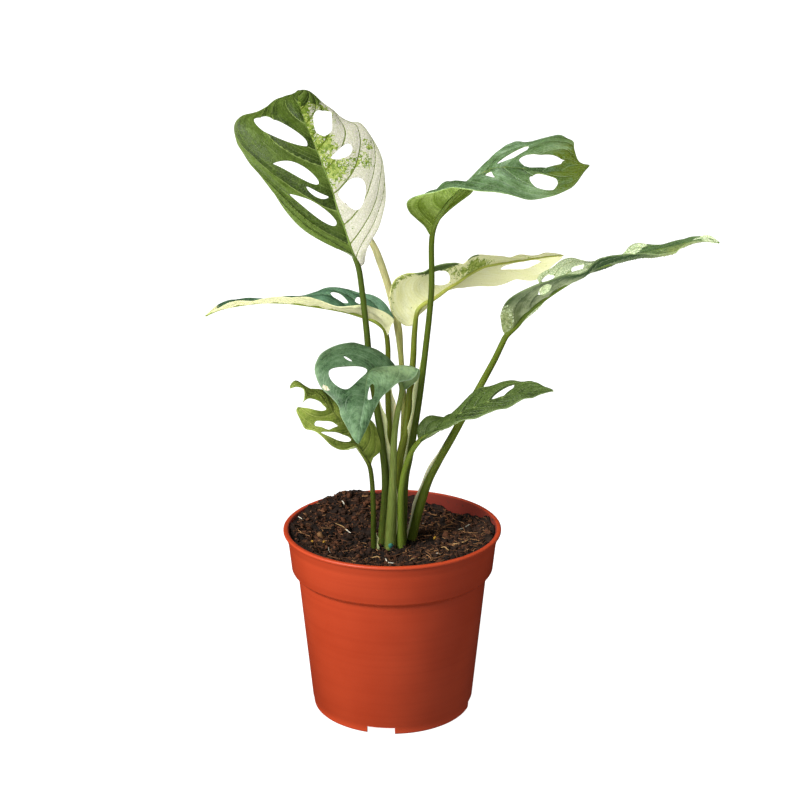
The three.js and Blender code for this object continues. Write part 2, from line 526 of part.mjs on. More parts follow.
function leafMesh(leaf) {
  const spine = leafSpine(leaf);
  const [footRadius, jointRadius] = leaf.stalk;
  const radiusAt = (u) => {
    if (u < spine.joint) {
      return footRadius + (jointRadius - footRadius) * (u / spine.joint) ** 0.8;
    }
    const s = (u - spine.joint) / (1 - spine.joint);
    return jointRadius + (ribTipRadius - jointRadius) * s ** 0.6;
  };
  const length = spine.curve.getLength();
  const rows = Math.round((length * (1 - spine.joint)) / rowStep);
  const stalkPlaces = evenly(0, spine.joint, Math.round((length * spine.joint) / stalkStep));
  const ribPlaces = evenly(bladeStart, bladeEnd, rows).map((s) => spine.along(s));
  const places = [...stalkPlaces, ...ribPlaces, 1];
  let solid = sweptTube(spine.curve, places, radiusAt);
  for (const side of ['left', 'right']) {
    let half = halfBlade(leaf, spine, side, rows);
    for (const hole of leaf.holes[side] ?? []) {
      half = half.subtract(holeCutter(leaf, spine, side, hole));
    }
    solid = solid.add(half);
  }
  return meshFrom(leaf.name, solid, leaf.color, 0.5);
}

function furledLeafMesh() {
  const [x, y] = furledLeaf.path[0];
  const curve = curveThrough([[x, y, stalkFoot], ...furledLeaf.path]);
  const radii = furledLeaf.radii;
  const radiusAt = (u) => {
    const place = curve.getUtoTmapping(u) * (radii.length - 1);
    const i = Math.min(Math.floor(place), radii.length - 2);
    return radii[i] + (radii[i + 1] - radii[i]) * (place - i);
  };
  const roll = sweptTube(curve, evenly(0, 1, furledSteps), radiusAt);
  return meshFrom(furledLeaf.name, roll, furledLeaf.color, 0.5);
}

// Pot: foot ring, raised floor with a standing pad, tapered wall, step, collar and rim
function potMesh() {
  const inner = potWall;
  const profile = [
    [0, 0], [padRadius, 0], [padRadius + 0.5, floorUnderside],
    [baseRadius - inner - 0.2, floorUnderside], [baseRadius - inner - 0.2, 0],
    [baseRadius - 0.4, 0], [baseRadius, 0.6], [shoulderRadius - 0.3, shoulderHeight - 1],
    [shoulderRadius, shoulderHeight], [collarFootRadius, collarFoot],
    [collarTopRadius, collarTop], [collarTopRadius + 0.5, collarTop + 1],
    [rimRadius, 89.3], [rimRadius, potHeight - 0.5], [rimRadius - 0.5, potHeight],
    [rimRadius - 2, potHeight], [rimRadius - 2.5, potHeight - 0.5],
    [collarTopRadius - inner, collarTop], [collarFootRadius - inner, collarFoot + 0.6],
    [shoulderRadius - inner - 0.3, shoulderHeight + 0.4],
    [baseRadius - inner + 0.2, floorTop], [0, floorTop],
  ];
  const points = profile.map(([radius, height]) => new THREE.Vector2(radius, height));
  const lathe = new THREE.LatheGeometry(points, potSegments);
  lathe.rotateX(Math.PI / 2);
  let pot = solidFromGeometry(lathe);
  for (let i = 0; i < 4; i += 1) {
    const notch = new THREE.BoxGeometry(notchWidth, 12, 2 * notchHeight);
    notch.translate(0, -baseRadius, 0);
    notch.rotateZ(THREE.MathUtils.degToRad(notchTurn + 90 * i));
    pot = pot.subtract(solidFromGeometry(notch));
  }
  for (let i = 0; i < drainCount; i += 1) {
    const drain = new THREE.CylinderGeometry(drainRadius, drainRadius, 8, 12);
    drain.rotateX(Math.PI / 2);
    drain.translate(drainCircle, 0, floorTop);
    drain.rotateZ((2 * Math.PI * (i + 0.5)) / drainCount);
    pot = pot.subtract(solidFromGeometry(drain));
  }
  return meshFrom('pot', pot, potColor, 0.4);
}

// Soil surface: level in the middle, rising to the wall, heaped at the back left
function soilHeight(x, y) {
  const radius = Math.hypot(x, y);
  let height = soilLevel + soilEdgeRise * (radius / 48) ** 3;
  for (const mound of [heap, sunk]) {
    const away = Math.hypot(x - mound.x, y - mound.y) / mound.spread;
    height += mound.height * Math.exp(-away * away);
  }
  height += 0.6 * Math.sin(x / 4.1) * Math.cos(y / 3.7) * Math.min(1, radius / 15);
  return height;
}

function innerWallRadius(height) {
  const inner = potWall;
  const corners = [
    [floorTop, baseRadius - inner + 0.2], [shoulderHeight + 0.4, shoulderRadius - inner - 0.3],
    [collarFoot + 0.6, collarFootRadius - inner], [collarTop, collarTopRadius - inner],
    [potHeight, rimRadius - 2.5],
  ];
  let i = 0;
  while (i < corners.length - 2 && height > corners[i + 1][0]) i += 1;
  const [[z0, r0], [z1, r1]] = [corners[i], corners[i + 1]];
  return r0 + ((r1 - r0) * Math.min(height - z0, z1 - z0)) / (z1 - z0);
}

function soilMesh() {
  const wallGap = soilGap + 0.2;
  const levels = [floorTop + soilGap, shoulderHeight + 0.4, collarFoot + 0.6, 78];
  const rings = 6;
  const positions = [0, 0, levels[0]];
  for (const level of levels) {
    const radius = innerWallRadius(level) - wallGap;
    for (let j = 0; j < potSegments; j += 1) {
      const angle = (2 * Math.PI * j) / potSegments;
      positions.push(radius * Math.cos(angle), radius * Math.sin(angle), level);
    }
  }
  for (let i = 0; i < rings; i += 1) {
    for (let j = 0; j < potSegments; j += 1) {
      const angle = (2 * Math.PI * j) / potSegments;
      let radius = innerWallRadius(87) - wallGap;
      let height = soilHeight(radius * Math.cos(angle), radius * Math.sin(angle));
      radius = innerWallRadius(height) - wallGap;
      if (i > 0) {
        radius *= 1 - i / rings;
        height = soilHeight(radius * Math.cos(angle), radius * Math.sin(angle));
      }
      positions.push(radius * Math.cos(angle), radius * Math.sin(angle), height);
    }
  }
  positions.push(0, 0, soilHeight(0, 0));
  const rows = levels.length + rings;
  const last = 1 + rows * potSegments;
  const triangles = [];
  for (let j = 0; j < potSegments; j += 1) {
    const next = (j + 1) % potSegments;
    triangles.push(0, 1 + next, 1 + j);
    for (let i = 0; i < rows - 1; i += 1) {
      const a = 1 + i * potSegments;
      const b = a + potSegments;
      triangles.push(a + j, a + next, b + next, a + j, b + next, b + j);
    }
    const top = 1 + (rows - 1) * potSegments;
    triangles.push(last, top + j, top + next);
  }
  let soil = solidFrom(positions, triangles);
  soil = soil.subtract(ellipticPost(stemHole, stem.bottom - soilGap, 100, 28));
  for (const leaf of leaves.filter(({ name }) => ownHole.includes(name))) {
    const [x, y] = leaf.petiole[0];
    const radius = leaf.stalk[0] + stalkGap;
    const hole = new THREE.CylinderGeometry(radius, radius, 100 - stalkFoot, 14);
    hole.rotateX(Math.PI / 2);
    hole.translate(x, y, (100 + stalkFoot) / 2 - soilGap);
    soil = soil.subtract(solidFromGeometry(hole));
  }
  return meshFrom('soil', soil, soilColor, 0.95);
}

// Stalks that leave the soil beside the others
const ownHole = ['leaf_lower_left', 'leaf_right'];

function ellipticPost({ halfX, halfY }, bottom, top, sides) {
  const post = new THREE.CylinderGeometry(1, 1, top - bottom, sides);
  post.rotateX(Math.PI / 2);
  post.scale(halfX, halfY, 1);
  post.translate(stem.x, stem.y, (top + bottom) / 2);
  return solidFromGeometry(post);
}

function stemMesh() {
  const post = ellipticPost(stem, stem.bottom, stem.top, 24);
  return meshFrom('stem', post, stemColor, 0.7);
}

const plant = new THREE.Group();
plant.add(potMesh(), soilMesh(), stemMesh(), ...leaves.map(leafMesh), furledLeafMesh());

export default plant;
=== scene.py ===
"""Looks of the potted variegated swiss cheese vine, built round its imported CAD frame.

Lengths are in millimetres and turned into metres by MM. The camera stands where the
photograph was taken from, looking along +Y and down. Colours are display colours of 0 to
255, which linear() turns into what the shader nodes take.
"""
import math
import random

import bmesh
import bpy
import numpy as np
from mathutils import Matrix, Vector, noise
from mathutils.geometry import delaunay_2d_cdt


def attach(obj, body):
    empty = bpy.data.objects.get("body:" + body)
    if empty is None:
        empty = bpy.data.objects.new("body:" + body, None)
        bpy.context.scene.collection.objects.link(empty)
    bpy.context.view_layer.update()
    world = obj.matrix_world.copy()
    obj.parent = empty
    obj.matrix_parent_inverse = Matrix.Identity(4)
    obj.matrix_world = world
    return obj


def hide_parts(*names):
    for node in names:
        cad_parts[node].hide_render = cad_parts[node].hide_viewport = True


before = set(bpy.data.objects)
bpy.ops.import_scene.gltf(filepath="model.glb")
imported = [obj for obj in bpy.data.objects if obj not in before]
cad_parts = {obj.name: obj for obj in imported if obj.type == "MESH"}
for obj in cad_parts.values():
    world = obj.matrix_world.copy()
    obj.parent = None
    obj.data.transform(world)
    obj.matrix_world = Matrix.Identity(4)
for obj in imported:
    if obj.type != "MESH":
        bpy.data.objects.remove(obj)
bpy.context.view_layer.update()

MM = 0.001
SEED = 7

# Camera, worked out from the pot's ellipses
CAMERA_AT = (3.75, -710.85, 365.22)
CAMERA_DOWN = 16.4
FOCAL_PIXELS = 1555.0
PHOTO_PIXELS = 800.0
SENSOR = 36.0

# Studio; a light has the direction it comes from, a strength and a spread in degrees
STUDIO_SIZE = 12000
STUDIO_LIGHT = 0.4
KEY_LIGHT = ((-0.62, -0.54, 0.57), 4.1, 32)
BELOW_LIGHT = ((-0.1, -0.2, -0.97), 2.8, 30)
FRONT_LIGHT = ((0.1, -0.85, -0.5), 1.5, 50)

# Leaf build; shares are of the rib's length or of the half blade's width
STALK_FOOT = 68.3
STALK_STEP = 1.5
SHEATH_SIDES = 10
CURVE_DIVISIONS = 400
BLADE_THICKNESS = 0.5
BLADE_START = 0.004
BLADE_END = 0.994
BLADE_LEAN = 0.3
BLADE_BULGE = 0.07
BLADE_ARCH = 0.12
BLADE_RELIEF = 0.13
MARGIN_WAVE = 0.5
MARGIN_LIGHT = 0.955
RIB_TIP_RADIUS = 0.35
HOLE_POINTS = 72
VEIN_COUNT = 10
MESH_STEP = 1.0
SHADES = ("pale", "fleck", "dark", "warm")

# Pot
POT_HEIGHT = 92.0
RIM_RADIUS = 53.1
COLLAR_TOP = 85.2
COLLAR_FOOT = 71.9
COLLAR_TOP_RADIUS = 50.7
COLLAR_FOOT_RADIUS = 49.3
SHOULDER_HEIGHT = 69.5
SHOULDER_RADIUS = 46.5
BASE_RADIUS = 39.4
POT_WALL = 1.2
FLOOR_UNDERSIDE = 3.8
FLOOR_TOP = 5.2
PAD_RADIUS = 9.5
POT_SEGMENTS = 144
NOTCH_WIDTH = 13.5
NOTCH_DEPTH = 12
NOTCH_HEIGHT = 3.5
NOTCH_TURN = -8
NOTCH_COUNT = 4
DRAIN_RADIUS = 3.0
DRAIN_CIRCLE = 24.0
DRAIN_COUNT = 8
DRAIN_SEGMENTS = 24
POT_COLOURS = dict(main=(190, 65, 30), light=(200, 71, 33), ring=(176, 54, 20),
                   inner_dark=(112, 31, 15), dirt=(58, 34, 24))

# Soil, with the crumbs, grains and fibres that lie on it
SOIL_LEVEL = 84.0
SOIL_EDGE_RISE = 6.0
SOIL_RINGS = 62
SOIL_AROUND = 190
HEAP = dict(x=-21, y=33, height=5.0, spread=17)
SUNK = dict(x=28, y=32, height=-5.5, spread=20)
PLANT_FOOT = dict(x=0.7, y=-3.7, half_width=6.8, half_depth=8.0)
CRUMB_COUNT = 900
CRUMB_SIZES = (0.5, 1.9)
GRAIN_COUNT = 2100
GRAIN_SIZES = (0.28, 0.95)
CRUMB_REACH = 48.5
FIBRE_COUNT = 1300
FIBRE_POINTS = 8
FIBRE_REACH = 48
FIBRE_LIMIT = 49.0
SOIL_COLOURS = dict(base=(24, 17, 14), patch=(55, 38, 28), grain=(112, 76, 50),
                    crumb=(98, 60, 38), bark=(156, 116, 74), wet=(20, 16, 14))
FIBRE_COLOURS = dict(dark=(44, 30, 22), brown=(92, 60, 40), pale=(166, 122, 80))

# Leaves as in the solids: stalk path, midrib, margins and holes, in millimetres.
# A hole is (place along the rib, half width, inner end, outer end, slant, taper, bend,
# point), where more than 1 of point is more pointed and less is blunter.
LEAVES = {
    "leaf_upper_left": dict(
        stalk=(2.2, 1.35),
        petiole=[(-4.2, -3.5, 84), (-3, -3.5, 112), (-4.5, -3, 132.5), (-7.5, -2, 154),
                 (-10.5, -1, 173.5), (-12, 0, 190.5), (-14, 0, 209.5)],
        rib=[(-15.5, 0, 220), (-18, 1.5, 226.5), (-22, 5, 237.5), (-25.5, 8.5, 247),
             (-28, 11.5, 254.5), (-30.5, 14.5, 261), (-33.5, 18, 268), (-36.5, 22, 274.5),
             (-39.5, 26, 280.5), (-42, 31, 286), (-44, 35.5, 291), (-45, 40, 294.5),
             (-45, 45, 296.5), (-44.5, 50, 296.5), (-44, 54, 295.5)],
        left=[(-16, 0, 221), (-18.5, 0, 226), (-24, 0, 228.5), (-30, 1, 231),
              (-38.5, 3.5, 235.5), (-43.5, 5.5, 239), (-48, 7.5, 243.5), (-51.5, 9, 248),
              (-54.5, 10.5, 252.5), (-57.5, 11.5, 256.5), (-62, 14.5, 261.5),
              (-66, 17, 265.5), (-69.5, 19, 270.5), (-72.5, 21.5, 275), (-74, 24, 280.5),
              (-73.5, 26, 284), (-70.5, 28.5, 286.5), (-66.5, 30.5, 287.5),
              (-63.5, 32, 288.5), (-60, 35.5, 290.5), (-55.5, 40, 293), (-51, 43, 294.5),
              (-47, 47, 295.5), (-45.5, 50, 296.5), (-44, 54, 296)],
        right=[(-15, 1, 220.5), (-13, 1, 222), (-12.5, 0.5, 225), (-11.5, 0, 229),
               (-9, 1, 233.5), (-6, 2.5, 238.5), (-4, 6, 245), (-3, 9, 250), (-3, 12, 256),
               (-3.5, 15.5, 261.5), (-4.5, 19.5, 267.5), (-6.5, 23.5, 272.5),
               (-9.5, 27, 277), (-13, 30.5, 281), (-15.5, 32.5, 283), (-19.5, 35, 283.5),
               (-24.5, 38, 285.5), (-27.5, 40, 287.5), (-31.5, 43, 290),
               (-34.5, 46.5, 292.5), (-38, 49, 295), (-41.5, 51.5, 296.5), (-44, 54, 296)],
        lean=0.45,
        left_holes=[(0.612, 0.046, 0.1, 0.88, 0.024, 0.1, 0, 0.86),
                    (0.422, 0.037, 0.15, 0.66, 0.022, -0.75, 0.02, 1.15),
                    (0.344, 0.015, 0.09, 0.37, 0.014, 0.5, -0.01, 0.85),
                    (0.265, 0.042, 0.12, 0.71, 0.046, -0.5, 0, 1.18)],
        right_holes=[(0.68, 0.066, 0.16, 0.9, 0.032, -0.5, 0.01, 1.25),
                     (0.498, 0.024, 0.18, 0.6, 0, 0.45, -0.005, 0.95),
                     (0.325, 0.066, 0.08, 0.6, -0.008, 0.2, -0.016, 1.2)],
    ),
    "leaf_upper_right": dict(
        stalk=(1.9, 1.3),
        petiole=[(4.6, -2.4, 84), (6, -2.5, 114), (8.5, -2, 128.5), (12, -1.5, 150.5),
                 (14, -1.5, 165.5), (16, -1.5, 183.5), (17.5, -1.5, 198), (18.5, -1.5, 212.5)],
        rib=[(18.5, -2, 235), (22, -2, 245.5), (29, -3, 255), (38, -4, 262.5), (47, -5, 267),
             (58, -6, 267), (69.5, -7, 265.5), (79.5, -8, 266.5), (89, -10, 269)],
        left=[(19.5, -1, 235.5), (21, 3.5, 240), (23.5, 6.5, 243), (27, 9, 246),
              (31, 11.5, 248.5), (35.5, 13.5, 251), (38, 14.5, 253), (38.75, 15.5, 256),
              (40, 16.5, 260), (41, 17, 262.75), (42.5, 17.5, 265), (44.5, 18, 267),
              (46.5, 18.5, 268.5), (48.75, 19, 269.75), (51, 19.5, 271.25),
              (53.25, 20, 272.75), (55.25, 20, 274.25), (57, 20, 275.75),
              (59.25, 20, 276.25), (63.5, 20, 276), (68, 18.5, 276.5), (73.5, 17.5, 278),
              (78, 15, 279.5), (81.5, 11.5, 278.5), (83.5, 8, 277), (83.5, 3.5, 274),
              (84.5, -1, 270.5), (86.5, -6, 269), (89, -9.5, 269)],
        right=[(17.5, -2.5, 236), (15, -4, 240.5), (11.5, -6.5, 244), (8.5, -10.5, 247.5),
               (7, -13, 251.5), (8, -15, 254), (10.5, -16, 255.5), (15, -17.5, 257),
               (20, -19.5, 258.5), (26, -21, 260), (31.5, -22, 260), (37, -23, 260),
               (43.5, -24, 259.5), (49.5, -25, 258.5), (55.5, -25.5, 257),
               (60.5, -26, 256.4), (67.5, -26.5, 257), (73.5, -25.5, 258),
               (78.5, -24, 260.5), (82.5, -21, 263.5), (86.5, -14.5, 267), (89, -10.5, 269)],
        left_holes=[(0.557, 0.022, 0.08, 0.57, 0.04, 0.25, 0.012, 0.95),
                    (0.763, 0.1, 0.04, 0.53, 0.08, -0.48, -0.029, 1.5),
                    (0.233, 0.007, 0.17, 0.6, 0.01, 0, 0, 1.1)],
        right_holes=[(0.718, 0.062, 0.25, 0.87, 0, 0, 0, 1.1),
                     (0.493, 0.019, 0.09, 0.43, 0.016, -0.45, -0.012, 1.15)],
        swells=[("right", 0.225, 0.035, 0.65, 0.3, (0, 0, 1.6)),
                ("right", 0.3, 0.05, 0.5, 0.33, (-1, 0, 3)),
                ("left", 0.35, 0.08, 0.5, 0.35, (1.5, 0, -1.9))],
    ),
    "leaf_right": dict(
        stalk=(2.9, 1.4),
        petiole=[(9.2, 2, 84), (16, 2.5, 110.5), (21.5, 3, 123), (28, 3, 135),
                 (35.5, 3, 149.5), (42.5, 3, 163), (48.5, 2.5, 175), (52, 2, 183)],
        rib=[(54, 2, 187), (58.5, 0.5, 192.5), (62.5, -1.5, 198.5), (68, -3, 204),
             (74.5, -5, 209.5), (80.5, -7, 214), (87, -8.5, 218.5), (93, -10, 222),
             (99.5, -11.5, 224.5), (105.5, -13, 226.5), (112, -14.5, 229), (118, -16.5, 231),
             (124, -18, 233), (129.5, -19.5, 234.5), (134, -21.5, 236.5), (139, -23, 238),
             (143, -24, 238), (146.5, -25, 236.5)],
        left=[(55, 2, 188), (56.25, 2.5, 188.75), (60.5, 4, 193.5), (65.75, 6.5, 198.5),
              (70.75, 10, 202.25), (73.75, 13, 204.75), (74.5, 15.5, 206.5),
              (73.25, 17.5, 208.5), (71, 18.5, 209.75), (70, 19.5, 211), (72, 20.5, 213.25),
              (76.5, 21.5, 216), (80.5, 22, 219.5), (85.5, 22, 220.5), (90, 20, 219.5),
              (94, 18, 219), (98.5, 16, 220), (102.5, 13, 222), (107.5, 10, 224),
              (109.5, 8.5, 226), (111.5, 7.5, 228.5), (114.5, 4.5, 230.5), (117, 2.5, 230.5),
              (120.5, -0.5, 231), (125, -4.5, 232.5), (129.5, -8.5, 234),
              (133.5, -11.5, 235.5), (136, -14, 237), (139, -16.5, 238), (142, -19, 239),
              (144.5, -22.5, 238), (146.5, -24.5, 236.5)],
        right=[(53.5, 2, 187.5), (52, 1, 190.5), (51, -2.5, 195.5), (50.5, -5.5, 199),
               (51.5, -9.5, 203.5), (53.5, -13, 207.5), (57, -16.5, 211.5), (61, -19, 214.5),
               (66, -21, 217), (72.5, -23, 219), (78.5, -24, 221.5), (83, -24.5, 222.5),
               (87, -25, 224), (89, -25, 226), (91, -25, 228), (94.5, -25, 229.5),
               (101.5, -25, 230.5), (107, -26, 232), (111.5, -27.5, 232.5),
               (114.5, -29, 232.5), (118, -30.5, 232), (122.5, -31, 232.5),
               (126, -31.5, 233.5), (128, -31.5, 236), (131, -30.5, 237.5),
               (136.5, -29, 238), (146, -25.5, 236.5)],
        bulge=-0.08,
        left_holes=[(0.268, 0.03, 0.64, 0.89, -0.008, -0.45, -0.01, 1.25),
                    (0.376, 0.018, 0.68, 0.91, 0.02, -0.35, 0, 1.6)],
        right_holes=[(0.281, 0.027, 0.33, 0.88, 0.018, 0.1, 0, 0.95)],
    ),
    "leaf_middle": dict(
        stalk=(3.1, 1.3),
        petiole=[(0.3, -2.8, 84), (3, -1.5, 121.5), (6.5, 0, 140.5), (8.5, 5, 158.5),
                 (10, 8, 173.5), (10.5, 9.5, 184)],
        rib=[(11, 10.5, 190.5), (11.5, 11, 196), (13, 12, 198.5), (15.5, 13, 200.5),
             (19, 14, 202), (22.5, 15.5, 204), (27, 17.5, 207), (31, 19, 209),
             (35.5, 20.5, 212), (39.5, 22, 214), (44, 23, 216), (48.5, 25, 216.5),
             (54.5, 27.5, 217), (61, 30, 217.5), (68, 32.5, 218), (75.5, 35, 218.5),
             (83.5, 38, 218.5)],
        left=[(11.5, 11.5, 190), (12.5, 16.5, 193), (15.5, 21.5, 195), (19, 26.5, 197.5),
              (23.5, 31, 200.3), (27.5, 34.5, 202), (31.5, 37, 203), (34.5, 39, 202.5),
              (40, 41.5, 202), (46, 43.5, 202), (51.5, 44.5, 202.5), (57, 46, 203),
              (61.5, 46.5, 204.5), (66.5, 47, 204.5), (72, 47, 205), (75.5, 46, 208),
              (79, 42.5, 213), (81.5, 40, 215.5), (83.5, 39, 217.5)],
        right=[(10.5, 10, 190.5), (8.5, 9.5, 190), (7, 9, 190), (4.5, 8.5, 191.5),
               (2, 7, 194.5), (0, 6, 198.5), (-1, 5.5, 203.5), (-0.5, 5, 208), (0.5, 5, 212),
               (2.5, 5, 214.5), (5.5, 5, 216), (7.5, 5, 216.5), (11.5, 5, 216.5),
               (15.5, 5.5, 217), (18.5, 6, 218.5), (21.5, 7.5, 219.5), (26, 9, 220.5),
               (30, 10.5, 220.5), (33.5, 12, 219.5), (35.5, 13.5, 220.5), (38, 15.5, 222),
               (41, 17, 222.5), (46, 20.5, 222), (50.5, 22.5, 221.5), (54, 24.5, 220.5),
               (57, 26, 219.5), (62, 28, 220.5), (67, 30, 220), (71, 32, 220),
               (74.5, 34, 220.5), (78.5, 36, 220), (83, 38, 219)],
        left_holes=[(0.74, 0.111, 0.13, 0.57, -0.017, 0.3, -0.006, 0.6)],
        right_holes=[(0.326, 0.044, 0.11, 0.74, 0.014, 0, 0, 1)],
    ),
    "leaf_left": dict(
        stalk=(2, 1.2),
        petiole=[(-1.2, 1.7, 84), (-1.5, 4, 137), (-2, 6, 154), (-2, 7.5, 171),
                 (-2, 8, 179.5)],
        rib=[(-2.5, 8, 185), (-3, 8.5, 187.5), (-4, 9, 189.5), (-7, 9.5, 192),
             (-11, 11, 193.5), (-16, 12, 195), (-21.5, 12.5, 196.5), (-27, 13, 197.5),
             (-33, 13, 198.5), (-40, 13, 199.5), (-48, 13, 200.5), (-55, 12.5, 201),
             (-61.5, 12, 201), (-68, 11, 200.5), (-75.5, 10, 199.5), (-82.5, 8.5, 198),
             (-88.5, 7, 195.5)],
        left=[(-2, 7, 186), (-0.5, 4.5, 191.5), (1, 2.5, 194), (0, 2, 196), (-3.5, 2, 198.5),
              (-8.5, 3, 200), (-13, 3, 201), (-20, 3.5, 201), (-27, 3.5, 201.5),
              (-32, 4, 202.5), (-36.5, 4, 204), (-40.5, 4, 205), (-46, 4, 205.5),
              (-52.5, 4.5, 205), (-60, 5, 204), (-68.5, 6, 203), (-76, 6, 202),
              (-82, 6, 199.5), (-88, 6.5, 196)],
        right=[(-2, 9, 186.5), (0, 11.5, 191), (1, 13, 193), (-0.5, 16, 195),
               (-2.5, 18.5, 197.5), (-5.5, 21, 200), (-10, 23.5, 202), (-15.5, 26.5, 202.5),
               (-21, 28.5, 203.5), (-27, 29, 204), (-32.5, 29, 204), (-38, 28.5, 202.5),
               (-43.5, 26.5, 200.8), (-48.5, 24, 200.7), (-54, 22, 201.2),
               (-59.5, 19.5, 201.2), (-65.5, 17, 201.4), (-71, 14.5, 202), (-75, 13, 202.2),
               (-78.5, 11.5, 201.9), (-83, 10, 200), (-88, 7.5, 196)],
        bulge=-0.06,
        right_holes=[(0.317, 0.022, 0.42, 0.82, 0.03, 0.2, 0.004, 0.8),
                     (0.24, 0.015, 0.55, 0.83, 0, -0.15, 0, 1)],
    ),
    "leaf_front": dict(
        stalk=(2.6, 1.3),
        petiole=[(-1, -9, 84), (0, -9, 108.5), (0.5, -9.5, 124), (1, -9.5, 140),
                 (2.5, -9.5, 152)],
        rib=[(4.5, -8.5, 162), (3.8, -8, 167), (2, -8.5, 171), (-1, -10, 174),
             (-4.5, -12.5, 175.5), (-8, -16, 176), (-10.5, -20, 175), (-11.5, -24.5, 172.5),
             (-12, -28.5, 169.5), (-12.5, -32.5, 165.5), (-13.5, -36, 161),
             (-14.5, -39.5, 156), (-15, -42, 152), (-15, -43, 148)],
        left=[(5, -8, 162.5), (7, -6.5, 163.5), (9.5, -5, 165), (12, -5.5, 167.5),
              (13, -8, 171), (12.5, -12, 174), (11.5, -15, 173), (9, -18, 171.5),
              (5.5, -21, 171), (2, -24, 170.5), (-2, -27, 168), (-5, -30, 165.5),
              (-7.5, -33.5, 162), (-9.5, -36.5, 158), (-11.5, -39.5, 154),
              (-13.5, -41.5, 150.5), (-15, -43, 148)],
        right=[(4, -8, 162.5), (3, -6.5, 166.5), (2, -5.5, 171), (0.5, -5, 174),
               (-1, -5, 176.5), (-4, -5, 179.5), (-8, -5, 182.5), (-12.5, -5, 184),
               (-17.5, -5.5, 185.5), (-23, -7, 185), (-28.5, -9, 184), (-32.5, -12, 182.5),
               (-34.5, -16, 180), (-35.5, -21, 176.5), (-34, -26, 173), (-31.5, -30, 170),
               (-27.5, -33.5, 167), (-24, -36, 163.5), (-23, -38, 160), (-20.5, -40, 155.5),
               (-18, -42, 151.5), (-15.5, -43, 148)],
        bulge=0.13,
        lean=0.25,
        left_holes=[(0.62, 0.057, 0.18, 0.58, 0.011, -0.45, -0.012, 0.85)],
        right_holes=[(0.51, 0.075, 0.04, 0.75, 0.065, 0, 0.065, 0.95),
                     (0.447, 0.009, 0.35, 0.55, -0.006, 0, 0.004, 1.05)],
    ),
    "leaf_lower_left": dict(
        stalk=(1.5, 1.1),
        petiole=[(-8.8, -12.9, 84), (-9, -13, 95.5), (-9, -13, 107), (-9.5, -13.5, 119)],
        rib=[(-10.5, -14, 127), (-12.5, -16, 132.5), (-16, -18, 138.5), (-19, -19.5, 144),
             (-22.5, -20.5, 150.5), (-26, -21.5, 155), (-29, -22.5, 159),
             (-31.5, -23.5, 162.5), (-34.5, -23.5, 165), (-37, -24, 167.5),
             (-39.5, -25, 169.5), (-41.5, -25.5, 171), (-43, -26.5, 172), (-45, -27.5, 172),
             (-46.5, -28, 170)],
        left=[(-11, -14.5, 128), (-13.5, -19.5, 134), (-16.5, -23.5, 139.5),
              (-18, -25, 140.5), (-21.5, -27, 140), (-24.5, -29, 141), (-28.5, -30.5, 143.5),
              (-31.5, -31.5, 147), (-34, -32, 150), (-36, -32, 151), (-39.5, -32, 151.5),
              (-41, -32, 153.5), (-42.5, -32, 157.5), (-43.5, -31, 160.5),
              (-42, -30.5, 162.5), (-40.5, -28.5, 164), (-40, -28, 166.5), (-40, -27.5, 169),
              (-41, -27.5, 170), (-43.5, -28, 170.5), (-45.5, -28, 170), (-46.8, -28, 169.6)],
        right=[(-10, -13.5, 127.5), (-10, -13, 129), (-8.5, -10.5, 132), (-6.5, -8.5, 132.5),
               (-6, -7, 135.5), (-7, -6, 141), (-8, -6, 145.5), (-10.5, -7, 148.5),
               (-14, -8.5, 152.5), (-18.5, -10.5, 156), (-22.5, -12.5, 159.5),
               (-26.5, -14.5, 161.5), (-29, -16, 163), (-32, -18, 166), (-36, -20.5, 167),
               (-39.5, -23, 168.5), (-41, -25, 170.5), (-42.5, -25.5, 172),
               (-44.5, -26.5, 173), (-46, -27.5, 171.5), (-46.7, -27.8, 170)],
        lean=0.2,
        left_holes=[(0.7, 0.046, 0.1, 1.04, 0.054, -0.4, 0.03, 0.7),
                    (0.499, 0.052, 0.26, 0.74, 0.031, 0.5, 0.024, 0.8),
                    (0.397, 0.047, 0.14, 0.92, 0.078, -0.25, -0.006, 1.25)],
    ),
    "leaf_lower_right": dict(
        stalk=(1.9, 1.2),
        petiole=[(4.2, -8, 84), (4, -8.5, 108.5), (5, -9, 119), (7, -10, 128), (10, -11, 135)],
        rib=[(13, -12, 139.5), (15, -13, 141.5), (18.5, -14.5, 144), (22, -16, 147),
             (26, -16.5, 150), (29.5, -17, 153), (33.5, -18, 155.5), (38, -18.5, 157.5),
             (43, -19, 160), (49, -19.5, 162), (55, -20, 164), (61.5, -20.5, 165.5),
             (67.5, -21, 166), (74.5, -22, 167)],
        left=[(12.5, -11.5, 140), (12, -9.5, 143), (12.5, -8, 145.5), (14.5, -6.5, 148),
              (16.5, -6, 149.5), (19, -6, 150), (22.5, -5.5, 149), (25.5, -5.5, 148.5),
              (27, -5, 150), (29.5, -5, 151), (32.5, -5, 154), (35.5, -5, 157.5),
              (38, -5, 160), (41, -4, 162.5), (44, -3.5, 163.5), (48, -3, 164.5),
              (52, -3.5, 165.5), (56, -4.5, 166.5), (60.5, -7.5, 167.5), (64.5, -10.5, 168),
              (68, -14, 168), (71.5, -18, 167.5), (74.5, -21.5, 167)],
        right=[(13.5, -13, 139), (16.5, -18.5, 143), (19.5, -22, 146), (23, -25, 149),
               (26.5, -27.5, 151.5), (29, -28.5, 153), (32.5, -29.5, 154.5),
               (36.5, -30.5, 156), (41.5, -31, 158), (46.5, -31, 159.5), (51.5, -30, 161),
               (55.5, -29.5, 162.5), (59, -29, 164), (62, -28.5, 165), (67, -26, 166),
               (71, -24, 166.5), (74, -22.5, 167)],
